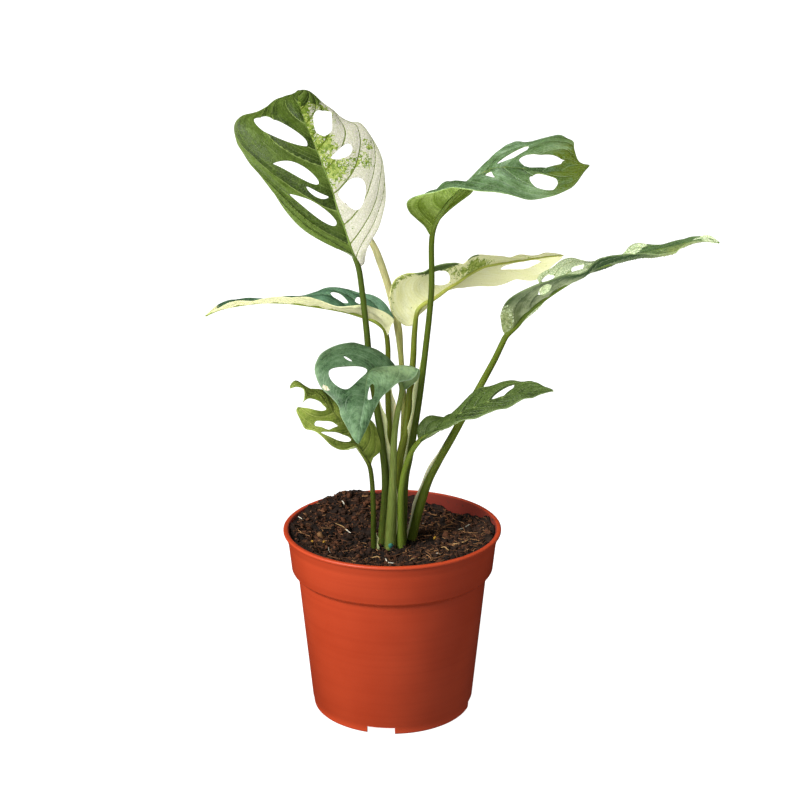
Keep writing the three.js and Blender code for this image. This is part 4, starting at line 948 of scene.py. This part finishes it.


# Looks of each leaf. A patch is (side, place along the rib, its reach, place across, its
# reach, amount); pale parts lack green, flecks are green cells in them, dark is painted shade.
LOOKS = {
    "leaf_upper_left": dict(
        left_veins=(0.035, 0.105, 0.26, 0.478, 0.558, 0.7, 0.82, 0.91),
        right_veins=(0.04, 0.11, 0.2, 0.35, 0.46, 0.56, 0.63, 0.7, 0.78, 0.86, 0.94),
        relief={"left": 0.12, "right": 0.05},
        pale_base={"right": 1.1},
        pale=[("right", 1.0, 0.13, 0.5, 1.5, -1.7), ("right", 0.82, 0.1, 0.2, 0.2, -0.5),
              ("right", 0.89, 0.09, 0.8, 0.34, -1.5), ("right", 0.73, 0.035, 0.68, 0.12, -0.7),
              ("left", 0.99, 0.02, 0.1, 0.2, 0.5)],
        fleck=[("right", 0.62, 0.24, 0.04, 0.16, 0.72), ("right", 0.43, 0.05, 0.18, 0.18, 0.7),
               ("right", 0.82, 0.14, 0.12, 0.2, 0.42), ("right", 0.5, 0.07, 0.3, 0.2, 0.22),
               ("right", 0.43, 0.04, 0.55, 0.16, 0.62), ("right", 0.45, 0.03, 0.86, 0.07, 0.75),
               ("right", 0.395, 0.03, 0.72, 0.1, 0.62), ("right", 0.6, 0.07, 0.32, 0.14, 0.5),
               ("right", 0.86, 0.1, 0.3, 0.5, 0.75), ("right", 0.73, 0.06, 0.75, 0.15, 0.7),
               ("right", 0.57, 0.04, 0.1, 0.2, 0.45), ("right", 0.8, 0.06, 0.6, 0.2, 0.5)],
        dark=[("left", 0.33, 0.07, 0.1, 0.12, 0.8), ("left", 0.5, 0.05, 0.1, 0.2, 0.5),
              ("left", 0.2, 0.06, 0.3, 0.3, 0.4), ("left", 0.52, 0.06, 0.5, 0.3, 0.5)],
        palette=dict(valley=0.7, green=(74, 96, 26), light=(106, 130, 52), dark=(44, 62, 13),
                     vein=(134, 154, 80), vein_share=0.9,
                     cream=(204, 201, 180), ivory=(218, 215, 200), net=(172, 176, 140),
                     cream_vein=(104, 122, 28), cream_vein_share=1.0, fleck=(104, 130, 34),
                     fleck_light=(160, 176, 84), gain=0.84, edge_share=0.45),
        sheaths=[(110, 160, 0, 2.5), (79, 112, 0, 1.8)],
        swell=0.5,
        stalk_colours=((58, 69, 19), (62, 77, 22), (92, 112, 44), SHEATH_PALE)),
    "leaf_upper_right": dict(
        warm=[("left", 1.0, 0.22, 0.5, 1.5, 2.8), ("right", 0.98, 0.22, 0.5, 1.3, 2.8),
              ("right", 0.05, 0.16, 0.5, 2.0, 1.0), ("left", 0.1, 0.22, 0.5, 2.0, 1.0)],
        dark=[("left", 0.72, 0.14, 0.06, 0.11, 1.3), ("left", 0.88, 0.05, 0.35, 0.12, 0.8),
              ("right", 0.7, 0.16, 0.06, 0.09, 1.3),
              ("right", 0.62, 0.05, 0.3, 0.15, 0.6), ("right", 0.6, 0.1, 1.0, 0.12, 0.8),
              ("right", 0.8, 0.05, 0.7, 0.3, 0.5)],
        palette=dict(valley=0.35, green=(86, 114, 74), light=(132, 158, 124), dark=(50, 76, 34),
                     vein=(144, 166, 126), vein_share=0.22, warm=(74, 88, 2),
                     under=(86, 106, 38), under_light=(128, 146, 80),
                     under_vein=(112, 130, 62), gain=1.24, under_gain=2.1, edge_share=0.1),
        sheaths=[(79, 118, 200, 2.0), (112, 178, 180, 2.4)],
        swell=0.4,
        stalk_colours=((60, 74, 18), (64, 78, 16), (100, 118, 50), SHEATH_PALE)),
    "leaf_right": dict(
        pale_base={"left": 0.75},
        pale=[("left", 0.5, 0.06, 0.4, 0.8, -1.5), ("left", 0.6, 0.045, 0.95, 0.4, 1.0),
              ("left", 0.76, 0.12, 0.5, 2.0, -1.4), ("left", 0.97, 0.06, 0.5, 2.0, 0.9),
              ("right", 0.97, 0.05, 0.5, 2.0, 1.1),
              ("right", 0.05, 0.09, 0.7, 0.45, 1.05)],
        fleck=[("left", 0.2, 0.08, 0.7, 0.5, 0.4), ("right", 0.04, 0.12, 0.7, 0.6, 0.92)],
        warm=[("right", 0.8, 0.07, 0.7, 0.6, 0.9), ("right", 0.03, 0.09, 0.6, 0.5, 0.9)],
        dark=[("left", 0.5, 0.1, 0.4, 0.8, 1.0), ("right", 0.5, 0.1, 0.7, 0.6, 1.3),
              ("right", 0.14, 0.08, 1.0, 0.2, 1.1), ("left", 0.75, 0.1, 0.7, 0.8, 0.6),
              ("right", 0.4, 0.2, 1.0, 0.3, 1.1), ("right", 0.66, 0.12, 0.8, 0.6, 0.8)],
        palette=dict(cream=(204, 216, 172), ivory=(218, 226, 194), net=(130, 158, 98),
                     net_share=0.75, gain=1.2, under_gain=1.25, under=(80, 94, 60),
                     under_light=(142, 152, 116), under_vein=(148, 160, 124),
                     green=(72, 98, 56), light=(104, 128, 82), dark=(44, 64, 36),
                     warm=(138, 148, 84), fleck=(112, 126, 72), fleck_light=(150, 160, 108)),
        sheaths=[(80, 134, 205, 2.0)],
        stalk_colours=((80, 94, 26), (76, 90, 18), (84, 104, 36), (206, 208, 166))),
    "leaf_middle": dict(
        pale_base={"left": 1.2, "right": 1.2},
        pale=[("right", 0.36, 0.09, 1.0, 0.3, -1.6), ("right", 0.44, 0.09, 0.1, 0.22, -0.5),
              ("right", 0.52, 0.03, 1.0, 0.1, -1.4)],
        fleck=[("right", 0.23, 0.1, 1.0, 0.16, 0.85), ("right", 0.46, 0.1, 0.2, 0.36, 0.9),
               ("right", 0.38, 0.05, 0.8, 0.25, 0.75), ("right", 0.52, 0.06, 0.5, 0.3, 0.6)],
        relief={"left": 0.02, "right": 0.05},
        palette=dict(cream=(222, 221, 160), ivory=(238, 238, 194), net=(204, 204, 140),
                     net_share=0.25, cream_vein=(204, 200, 134), cream_vein_share=0.15,
                     gain=1.17, under_gain=0.9, ridge=0.1,
                     green=(70, 92, 44), dark=(50, 70, 34), under=(70, 92, 44),
                     under_light=(86, 108, 56), fleck=(118, 136, 52),
                     fleck_light=(160, 172, 86)),
        sheaths=[(112, 162, 0, 2.0), (79, 112, 180, 2.2)],
        stalk_colours=((80, 90, 22), (92, 102, 28), (150, 156, 70), (220, 220, 176))),
    "leaf_left": dict(
        pale_base={"left": 1.2},
        pale=[("right", 0.97, 0.05, 0.5, 2.0, 1.2)],
        fleck=[("left", 0.99, 0.07, 0.5, 2.0, 0.75)],
        palette=dict(gain=1.2, cream=(212, 211, 160), ivory=(224, 223, 180), net=(196, 198, 146),
                     net_share=0.3, cream_vein=(186, 190, 130), cream_vein_share=0.35,
                     green=(62, 94, 68), light=(86, 122, 94), dark=(38, 64, 42),
                     vein=(108, 138, 104)),
        sheaths=[(122, 162, 0, 2.6), (79, 116, 270, 2.4)],
        stalk_colours=((80, 90, 24), (88, 98, 26), (122, 136, 52), (200, 200, 150))),
    "leaf_front": dict(
        relief={"left": 0.015, "right": 0.015},
        warm=[("left", 0.25, 0.22, 0.6, 0.5, 0.9)],
        pale=[("right", 0.65, 0.02, 0.92, 0.06, 1.3)],
        dark=[("right", 0.05, 0.12, 0.6, 0.6, 0.7), ("left", 0.62, 0.14, 0.1, 0.12, 0.6),
              ("right", 0.45, 0.3, 0.6, 0.6, 0.4),
              ("right", 0.2, 0.1, 0.9, 0.2, 0.5)],
        palette=dict(valley=0.1, green=(78, 108, 72), light=(114, 144, 106), dark=(34, 60, 32),
                     vein=(132, 156, 122), vein_share=0.12, warm=(142, 166, 118),
                     cream=(206, 186, 170), ivory=(214, 196, 182),
                     under=(64, 86, 36), under_light=(84, 106, 54),
                     gain=1.14, ridge=0.15, edge_share=0.8),
        sheaths=[(79, 118, 0, 1.5)],
        swell=0.4,
        stalk_colours=((86, 98, 42), (96, 110, 50), (88, 112, 70), SHEATH_PALE)),
    "leaf_lower_left": dict(
        dark=[("right", 0.7, 0.14, 0.5, 1.0, 0.9), ("left", 0.36, 0.08, 0.7, 0.6, 0.6),
              ("left", 0.8, 0.06, 0.1, 0.2, 0.5)],
        palette=dict(valley=0.3, green=(98, 114, 42), light=(120, 132, 58), dark=(64, 78, 24),
                     vein=(150, 160, 84), gain=1.55, under_gain=1.7, ridge=0.4),
        sheaths=[(80, 94, 0, 1.6)],
        stalk_colours=((46, 56, 10), (58, 70, 17), (110, 122, 54), SHEATH_PALE)),
    "leaf_lower_right": dict(
        palette=dict(valley=0.5, green=(76, 99, 38), light=(98, 120, 56), dark=(36, 54, 14),
                     vein=(146, 166, 112), vein_share=0.45, gain=0.8, edge_share=0.5),
        relief={"left": 0.2, "right": 0.2},
        sheaths=[(79, 108, 180, 1.2)],
        swell=0.4,
        stalk_colours=((82, 98, 32), (92, 110, 34), (104, 122, 60), SHEATH_PALE)),
}

def leaf_piece(name):
    leaf = {**LEAVES[name], **LOOKS[name]}
    spine = Spine(leaf)
    build = Build(*SHADES, "upper", "edge", "spacing", "along")
    for side in ("left", "right"):
        add_half_blade(build, leaf, spine, side)
    add_stalk(build, leaf, spine)
    for sheath in leaf["sheaths"]:
        add_sheath(build, leaf, spine, *sheath)
    blade = blade_material(name + "_blade", {**PALETTE, **leaf["palette"]})
    stalk = stalk_material(name + "_stalk", *leaf["stalk_colours"])
    made = build.finish(name + "_look", [blade, stalk])
    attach(made, "root")
    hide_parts(name)
    return made


def furled_piece():
    """The young leaf that is still rolled up, pale towards its tip."""
    curve = Curve(FURLED["path"])
    share = np.linspace(0, 1, 130)
    knots = np.interp(share, curve.shares, curve.knots) * (len(FURLED["radii"]) - 1)
    radii = np.interp(knots, np.arange(len(FURLED["radii"])), FURLED["radii"])
    build = Build("pale", "along")
    add_tube(build, curve.at(share), curve.heading(share), radii, slot=0, along=share,
             pale=np.clip((share - 0.58) * 5, 0, 1))
    stalk = stalk_material("furled", *FURLED_COLOURS)
    made = build.finish("leaf_furled_look", [stalk])
    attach(made, "root")
    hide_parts("leaf_furled")
    return made


# Pot

def pot_profile():
    """Radius and height from the middle of the underside, round the rim, to the floor."""
    inner = POT_WALL
    return [
        (0, 0), (PAD_RADIUS, 0), (PAD_RADIUS + 0.5, FLOOR_UNDERSIDE),
        (BASE_RADIUS - inner - 0.2, FLOOR_UNDERSIDE), (BASE_RADIUS - inner - 0.2, 0),
        (BASE_RADIUS - 0.6, 0), (BASE_RADIUS - 0.15, 0.3), (BASE_RADIUS, 0.9),
        (BASE_RADIUS + 0.25, 4.0), (BASE_RADIUS + 0.55, 4.3),
        (SHOULDER_RADIUS - 0.3, SHOULDER_HEIGHT - 1), (SHOULDER_RADIUS, SHOULDER_HEIGHT),
        (SHOULDER_RADIUS + 0.5, SHOULDER_HEIGHT + 0.4),
        (COLLAR_FOOT_RADIUS - 0.4, COLLAR_FOOT - 0.5), (COLLAR_FOOT_RADIUS, COLLAR_FOOT + 0.2),
        (COLLAR_TOP_RADIUS, COLLAR_TOP), (COLLAR_TOP_RADIUS + 0.4, COLLAR_TOP + 1.4),
        (COLLAR_TOP_RADIUS + 1.0, 88.4), (RIM_RADIUS - 0.85, 90.5), (RIM_RADIUS - 0.75, 90.7),
        (RIM_RADIUS - 0.1, 90.75), (RIM_RADIUS, POT_HEIGHT - 1), (RIM_RADIUS, POT_HEIGHT - 0.4),
        (RIM_RADIUS - 0.25, POT_HEIGHT - 0.1), (RIM_RADIUS - 0.8, POT_HEIGHT),
        (RIM_RADIUS - 1.8, POT_HEIGHT), (RIM_RADIUS - 2.4, POT_HEIGHT - 0.25),
        (RIM_RADIUS - 2.7, POT_HEIGHT - 0.9), (COLLAR_TOP_RADIUS - inner, COLLAR_TOP),
        (COLLAR_FOOT_RADIUS - inner, COLLAR_FOOT + 0.6),
        (SHOULDER_RADIUS - inner - 0.3, SHOULDER_HEIGHT + 0.4),
        (BASE_RADIUS - inner + 0.2, FLOOR_TOP), (0, FLOOR_TOP),
    ]


def wall_radius(height):
    """The inside of the pot's wall."""
    corners = [(FLOOR_TOP, BASE_RADIUS - POT_WALL + 0.2),
               (SHOULDER_HEIGHT + 0.4, SHOULDER_RADIUS - POT_WALL - 0.3),
               (COLLAR_FOOT + 0.6, COLLAR_FOOT_RADIUS - POT_WALL),
               (COLLAR_TOP, COLLAR_TOP_RADIUS - POT_WALL), (POT_HEIGHT, RIM_RADIUS - 2.7)]
    return np.interp(height, *zip(*corners))


def lathe(profile, segments):
    """A profile of radius and height that starts and ends on the axis, turned round it."""
    points = [(*polar(radius, 2 * math.pi * j / segments), height)
              for radius, height in profile[1:-1] for j in range(segments)]
    points += [(0, 0, profile[0][1]), (0, 0, profile[-1][1])]
    return points, turned_faces(len(profile) - 2, segments)


def box(width, depth, height):
    points = [(x * width / 2, y * depth / 2, z * height / 2)
              for z in (-1, 1) for y in (-1, 1) for x in (-1, 1)]
    faces = [(0, 2, 3, 1), (4, 5, 7, 6), (0, 1, 5, 4), (2, 6, 7, 3), (0, 4, 6, 2), (1, 3, 7, 5)]
    return points, faces


def cut_away(target, cutter):
    modifier = target.modifiers.new("cut", "BOOLEAN")
    modifier.object = cutter
    modifier.operation = "DIFFERENCE"
    modifier.solver = "EXACT"
    graph = bpy.context.evaluated_depsgraph_get()
    cut = bpy.data.meshes.new_from_object(target.evaluated_get(graph))
    target.modifiers.clear()
    target.data = cut
    bpy.data.objects.remove(cutter)


def pot_material():
    """Turned plastic, darker and matt on the inner wall, with spots round the rim."""
    n = Nodes("pot_plastic")
    hue = {key: linear(colour) for key, colour in POT_COLOURS.items()}
    broad = n.noise(22.0, 3.0)
    grain = n.noise(900.0, 2.0)
    rings = n.noise(60.0, 3.0, (0.06, 0.06, 6.0))
    dirt = n.step(n.noise(420.0, 4.0), 0.6, 0.68)
    # The inner wall is darker and matt above the shoulder
    inner_dark = n.value("inside") * n.step(broad, 0.1, 0.6, 0.8, 1.0)
    colour = n.layers(
        n.mix(n.step(broad, 0.3, 0.7), hue["main"], hue["light"]),
        (n.step(rings, 0.45, 0.7) * 0.25, hue["ring"]),
        (inner_dark, hue["inner_dark"]),
        (dirt * n.value("rim"), hue["dirt"]))
    n.bump(grain + rings * 0.6, 0.12, 0.0003)
    return n.finish(colour, n.mix(inner_dark, n.step(broad, 0.2, 0.8, 0.36, 0.46), grey(0.95)), 0.5)


def pot_piece():
    pot = plain_mesh("pot_look", *lathe(pot_profile(), POT_SEGMENTS))
    notch, sides = box(NOTCH_WIDTH, NOTCH_DEPTH, 2 * NOTCH_HEIGHT)
    for i in range(NOTCH_COUNT):
        turn = math.radians(NOTCH_TURN + 360 / NOTCH_COUNT * i)
        spin = np.array(Matrix.Rotation(turn, 3, "Z"))
        cut_away(pot, plain_mesh("notch", (np.array(notch) - [0, BASE_RADIUS, 0]) @ spin.T, sides))
    drain, sides = lathe([(0, 0), (DRAIN_RADIUS, 0), (DRAIN_RADIUS, 9), (0, 9)], DRAIN_SEGMENTS)
    for i in range(DRAIN_COUNT):
        middle = polar(DRAIN_CIRCLE, 2 * math.pi * (i + 0.5) / DRAIN_COUNT)
        cut_away(pot, plain_mesh("drain", np.array(drain) + [*middle, 0.5], sides))
    spots = np.zeros(len(pot.data.vertices) * 3)
    pot.data.vertices.foreach_get("co", spots)
    x, y, z = spots.reshape(-1, 3).T / MM
    outwards = np.hypot(x, y)
    rim = np.interp(outwards, [RIM_RADIUS - 3, RIM_RADIUS - 1.8, RIM_RADIUS - 0.4], [1, 0.8, 0])
    add_values(pot.data, "inside", (outwards < wall_radius(z) + 0.4) & (z > SHOULDER_HEIGHT))
    add_values(pot.data, "rim", np.where(z > POT_HEIGHT - 1.2, rim, 0))
    pot.data.materials.clear()
    pot.data.materials.append(pot_material())
    smooth(pot.data, 50)
    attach(pot, "root")
    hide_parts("pot")


# Soil

def soil_height(x, y):
    """The surface without its lumps, from the mounds to the raised edge."""
    radius = np.hypot(x, y)
    height = SOIL_LEVEL + SOIL_EDGE_RISE * (radius / 48) ** 3
    for mound in (HEAP, SUNK):
        away = np.hypot(x - mound["x"], y - mound["y"]) / mound["spread"]
        height = height + mound["height"] * np.exp(-away ** 2)
    ripple = 0.6 * np.sin(x / 4.1) * np.cos(y / 3.7) * np.minimum(1, radius / 15)
    return height + ripple


def rough_height(x, y):
    """The surface with its lumps."""
    lumps = noise.fractal(Vector((x / 6, y / 6, 3.1)), 0.9, 2.1, 5)
    crumbs = noise.fractal(Vector((x / 1.6, y / 1.6, 9.7)), 0.8, 2.0, 3)
    return float(soil_height(x, y)) + 1.5 * lumps + 0.8 * crumbs


def wetness(x, y):
    """1 at the stalks, where the soil is dark, and 0 a few centimetres off."""
    return np.exp(-((x - 2) ** 2 + (y + 2) ** 2) / 17.0 ** 2)


def soil_material():
    n = Nodes("soil")
    hue = {key: linear(colour) for key, colour in SOIL_COLOURS.items()}
    patches = n.noise(60.0, 4.0)
    grit = n.noise(700.0, 5.0, roughness=0.7)
    tone = n.value("tone")
    colour = n.layers(
        n.mix(n.step(patches, 0.35, 0.68), hue["base"], hue["patch"]),
        (n.step(grit, 0.6, 0.74), hue["grain"]),
        (n.step(tone, 0.0, 0.5), hue["crumb"]),
        (n.step(tone, 0.5, 1.0), hue["bark"]),
        # Darker soil round the stalks
        (n.value("wet") * 0.88, hue["wet"]))
    n.bump(grit, 0.8, 0.0012)
    return n.finish(colour, 0.92, 0.25)


def soil_piece(material):
    """The body of soil: its underside, its side along the wall and its rough top."""
    levels = [FLOOR_TOP + 0.5, SHOULDER_HEIGHT + 0.4, COLLAR_FOOT + 0.6, 78]
    angles = np.linspace(0, 2 * np.pi, SOIL_AROUND, endpoint=False)
    points = [(*polar(wall_radius(z) - 0.5, a), z) for z in levels for a in angles]
    edge = [wall_radius(rough_height(*polar(wall_radius(88) - 0.3, a))) - 0.25 for a in angles]
    for i in range(SOIL_RINGS):
        for radius, a in zip(edge, angles):
            x, y = polar(radius * (1 - i / SOIL_RINGS), a)
            points.append((x, y, rough_height(x, y)))
    points = np.array(points + [(0, 0, levels[0]), (0, 0, rough_height(0, 0))])
    build = Build("tone", "wet")
    build.add(points, turned_faces(len(levels) + SOIL_RINGS, SOIL_AROUND),
              wet=wetness(points[:, 0], points[:, 1]))
    made = build.finish("soil_look", [material], sharp=180)
    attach(made, "root")
    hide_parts("soil")


def ball(detail):
    """Points and faces of a geodesic ball of radius 1."""
    shape = bmesh.new()
    bmesh.ops.create_icosphere(shape, subdivisions=detail, radius=1.0)
    shape.verts.ensure_lookup_table()
    points = np.array([tuple(v.co) for v in shape.verts])
    faces = [tuple(v.index for v in f.verts) for f in shape.faces]
    shape.free()
    return points, faces


def turn_matrix(chance):
    axis = Vector((chance.gauss(0, 1), chance.gauss(0, 1), chance.gauss(0, 1))).normalized()
    return np.array(Matrix.Rotation(chance.uniform(0, 6.28), 3, axis))


def crumbs_piece(name, count, sizes, material, chance):
    """Crumbs of soil, lumpy balls half sunk in the surface, clear of the wall and plant."""
    points, faces = ball(2)
    build = Build("tone", "wet")
    placed = 0
    while placed < count:
        x = chance.uniform(-CRUMB_REACH, CRUMB_REACH)
        y = chance.uniform(-CRUMB_REACH, CRUMB_REACH)
        size = sizes[0] + (sizes[1] - sizes[0]) * chance.random() ** 2.5
        at_plant = math.hypot((x - PLANT_FOOT["x"]) / PLANT_FOOT["half_width"],
                              (y - PLANT_FOOT["y"]) / PLANT_FOOT["half_depth"]) < 1
        if at_plant or math.hypot(x, y) > wall_radius(86) - 0.6 - size:
            continue
        placed += 1
        offset = Vector((chance.uniform(0, 50), chance.uniform(0, 50), 0))
        swell = np.array([noise.noise(Vector(p) * 1.9 + offset) for p in points])
        lump = points * (1 + 0.95 * swell)[:, None]
        lump = lump * [1, chance.uniform(0.6, 1), chance.uniform(0.45, 0.9)]
        lump = lump @ turn_matrix(chance).T * size
        back_left = np.clip((y - x) / 60, 0, 1)
        tone = np.clip(chance.gauss(0.12 + 0.22 * back_left, 0.2), 0, 1)
        build.add(lump + [x, y, rough_height(x, y) + 0.25 * size], faces, tone=tone,
                  wet=wetness(x, y))
    made = build.finish(name, [material], sharp=180)
    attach(made, "root")


def fibre_material():
    n = Nodes("fibres")
    hue = {key: linear(colour) for key, colour in FIBRE_COLOURS.items()}
    tone = n.value("tone")
    colour = n.mix(n.step(tone, 0.0, 0.5), hue["dark"], hue["brown"])
    colour = n.mix(n.step(tone, 0.5, 1.0), colour, hue["pale"])
    n.bump(n.noise(600.0, 3.0), 0.4, 0.0006)
    return n.finish(colour, 0.85, 0.2)


def fibres_piece(count, chance):
    """Short bent fibres of bark and root all over the soil."""
    build = Build("tone")
    for _ in range(count):
        around, away = chance.uniform(0, 2 * math.pi), FIBRE_REACH * math.sqrt(chance.random())
        x, y = polar(away, around)
        turn, bend = chance.uniform(0, 2 * math.pi), chance.uniform(-1.6, 1.6)
        length, radius = 1.6 + 5 * chance.random() ** 2, chance.uniform(0.11, 0.22)
        tilt, lift = chance.gauss(0, 0.1), chance.uniform(0.4, 1.0)
        turns = turn + bend * np.linspace(-0.5, 0.5, FIBRE_POINTS)
        steps = np.stack([np.cos(turns), np.sin(turns), np.full(FIBRE_POINTS, tilt)], 1)
        steps = steps * length / FIBRE_POINTS
        spots = np.array([x, y, rough_height(x, y) + lift]) + np.cumsum(steps, axis=0)
        if np.hypot(spots[:, 0], spots[:, 1]).max() > FIBRE_LIMIT:
            continue
        tone = np.clip(chance.gauss(0.4 + 0.2 * (x > 15), 0.25), 0, 1)
        radii = np.full(FIBRE_POINTS, radius)
        add_tube(build, spots, unit(steps), radii, slot=0, sides=5, tone=tone)
    made = build.finish("soil_fibres", [fibre_material()])
    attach(made, "root")


# Bits on the soil: kind, place, turn in degrees, length and radius
LITTER_COLOURS = dict(white=(224, 216, 196), tan=(176, 140, 92), grey=(150, 146, 132),
                      yellow=(206, 160, 58), teal=(62, 128, 116))
LITTER = [
    ("white", -25.2, 30.6, 110, 4.5, 0.28), ("white", -21.9, 7.1, -45, 4.0, 0.28),
    ("white", 13.9, 26.7, 5, 4.5, 0.25), ("white", -1.4, -34.5, -50, 6.5, 0.32),
    ("white", -45.9, 14.2, 130, 4.0, 0.25), ("tan", -25.0, 11.0, -52, 10.0, 0.3),
    ("grey", 35.6, 13.0, 25, 7.0, 0.35), ("tan", 33.3, -8.7, 15, 8.0, 0.35),
    ("tan", 25.3, -16.2, 130, 6.0, 0.3), ("yellow", -38.6, -13.1, 0, 1.3, 0.6),
    ("yellow", -32.9, -11.7, 60, 1.2, 0.6), ("yellow", 20.9, 2.6, 10, 1.2, 0.6),
    ("teal", -0.4, -11.8, 90, 1.6, 1.3), ("tan", -8.0, -27.0, 160, 6.0, 0.3),
    ("tan", 10.0, -30.0, 35, 7.0, 0.28), ("grey", -30.0, -20.0, 100, 6.0, 0.28),
    ("tan", 4.0, 22.0, 70, 7.0, 0.3), ("white", 22.0, -24.0, 140, 2.4, 0.25),
]


def litter_material(kind):
    n = Nodes("litter_" + kind)
    colour = linear(LITTER_COLOURS[kind])
    shade = n.step(n.noise(700.0, 3.0), 0.35, 0.65)
    return n.finish(n.mix(shade, tuple(0.6 * v for v in colour), colour), 0.8, 0.2)


def litter_piece(chance):
    """Fibres, chips and grains lying on the soil."""
    build = Build()
    kinds = list(LITTER_COLOURS)
    places = np.linspace(-0.5, 0.5, 14)
    for kind, x, y, turn, length, radius in LITTER:
        way = np.array([*polar(1, math.radians(turn)), 0])
        across = np.array([-way[1], way[0], 0])
        bend = chance.uniform(-0.16, 0.16) * length
        spots = np.array([x, y, 0]) + np.outer(places * length, way)
        spots += np.outer(bend * np.cos(places * 5), across)
        heights = [rough_height(spot[0], spot[1]) for spot in spots]
        spots[:, 2] = np.convolve(np.pad(heights, 2, mode="edge"), np.ones(5) / 5, "valid")
        spots[:, 2] += 0.75 + radius
        ahead = unit(np.gradient(spots, axis=0))
        radii = radius * np.sqrt(np.maximum(1 - (2 * places) ** 4, 0.05))
        add_tube(build, spots, ahead, radii, kinds.index(kind), sides=10)
    made = build.finish("soil_litter", [litter_material(kind) for kind in kinds])
    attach(made, "root")


def colour_node(name, material):
    """Gives a material to a node of the frame that shows as it is."""
    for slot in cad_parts[name].material_slots:
        slot.material = material


# Camera, floor and lights

def set_camera():
    data = bpy.data.cameras.new("camera")
    data.sensor_width = SENSOR
    data.lens = FOCAL_PIXELS / PHOTO_PIXELS * SENSOR
    data.clip_start = 0.01
    data.clip_end = 200
    camera = bpy.data.objects.new("camera", data)
    camera.location = [v * MM for v in CAMERA_AT]
    camera.rotation_euler = (math.radians(90 - CAMERA_DOWN), 0, 0)
    bpy.context.collection.objects.link(camera)
    bpy.context.scene.camera = camera
    bpy.context.scene.view_settings.view_transform = "Standard"


def set_floor():
    """A pale studio floor with pale walls far off, lit evenly so that no shadow shows."""
    size = STUDIO_SIZE
    corners = [(-size, -size), (size, -size), (size, size), (-size, size)]
    points = [(x, y, z) for z in (0, size) for x, y in corners]
    walls = [(j, j + 4, (j + 1) % 4 + 4, (j + 1) % 4) for j in range(4)]
    floor = plain_mesh("floor", points, [(0, 1, 2, 3), *walls])
    n = Nodes("floor")
    n.shade(Emission_Color=grey(1), Emission_Strength=1.0)
    floor.data.materials.append(n.finish(grey(0.3), 0.9, 0.0))
    floor.visible_diffuse = False
    floor.visible_glossy = False
    floor.visible_shadow = False


def sun_light(name, way, strength, spread):
    """A soft light from far away, coming from the direction way."""
    data = bpy.data.lights.new(name, "SUN")
    data.energy = strength
    data.angle = math.radians(spread)
    light = bpy.data.objects.new(name, data)
    light.rotation_mode = "QUATERNION"
    light.rotation_quaternion = Vector(way).to_track_quat("Z", "Y")
    bpy.context.collection.objects.link(light)
    return light


def set_lights(leaves):
    """Studio light all round, a key light, and two weak lights that only reach leaves."""
    world = bpy.data.worlds.new("studio")
    world.use_nodes = True
    back = world.node_tree.nodes["Background"]
    back.inputs["Color"].default_value = grey(1)
    back.inputs["Strength"].default_value = STUDIO_LIGHT
    bpy.context.scene.world = world
    world.cycles_visibility.glossy = False
    sun_light("key", *KEY_LIGHT)
    foliage = bpy.data.collections.new("foliage")
    for leaf_object in leaves:
        foliage.objects.link(leaf_object)
    # Light from the pale table and the front that reaches the foliage
    for light in (sun_light("below", *BELOW_LIGHT), sun_light("front", *FRONT_LIGHT)):
        light.visible_glossy = False
        light.light_linking.receiver_collection = foliage


random.seed(SEED)
set_camera()
set_floor()
set_lights([*[leaf_piece(leaf_name) for leaf_name in LEAVES], furled_piece()])
pot_piece()
soil = soil_material()
soil_piece(soil)
crumbs_piece("soil_crumbs", CRUMB_COUNT, CRUMB_SIZES, soil, random.Random(SEED))
crumbs_piece("soil_grains", GRAIN_COUNT, GRAIN_SIZES, soil, random.Random(SEED + 1))
fibres_piece(FIBRE_COUNT, random.Random(SEED + 2))
litter_piece(random.Random(SEED + 3))
colour_node("stem", stalk_material("stem", *[STEM_COLOUR] * 4))
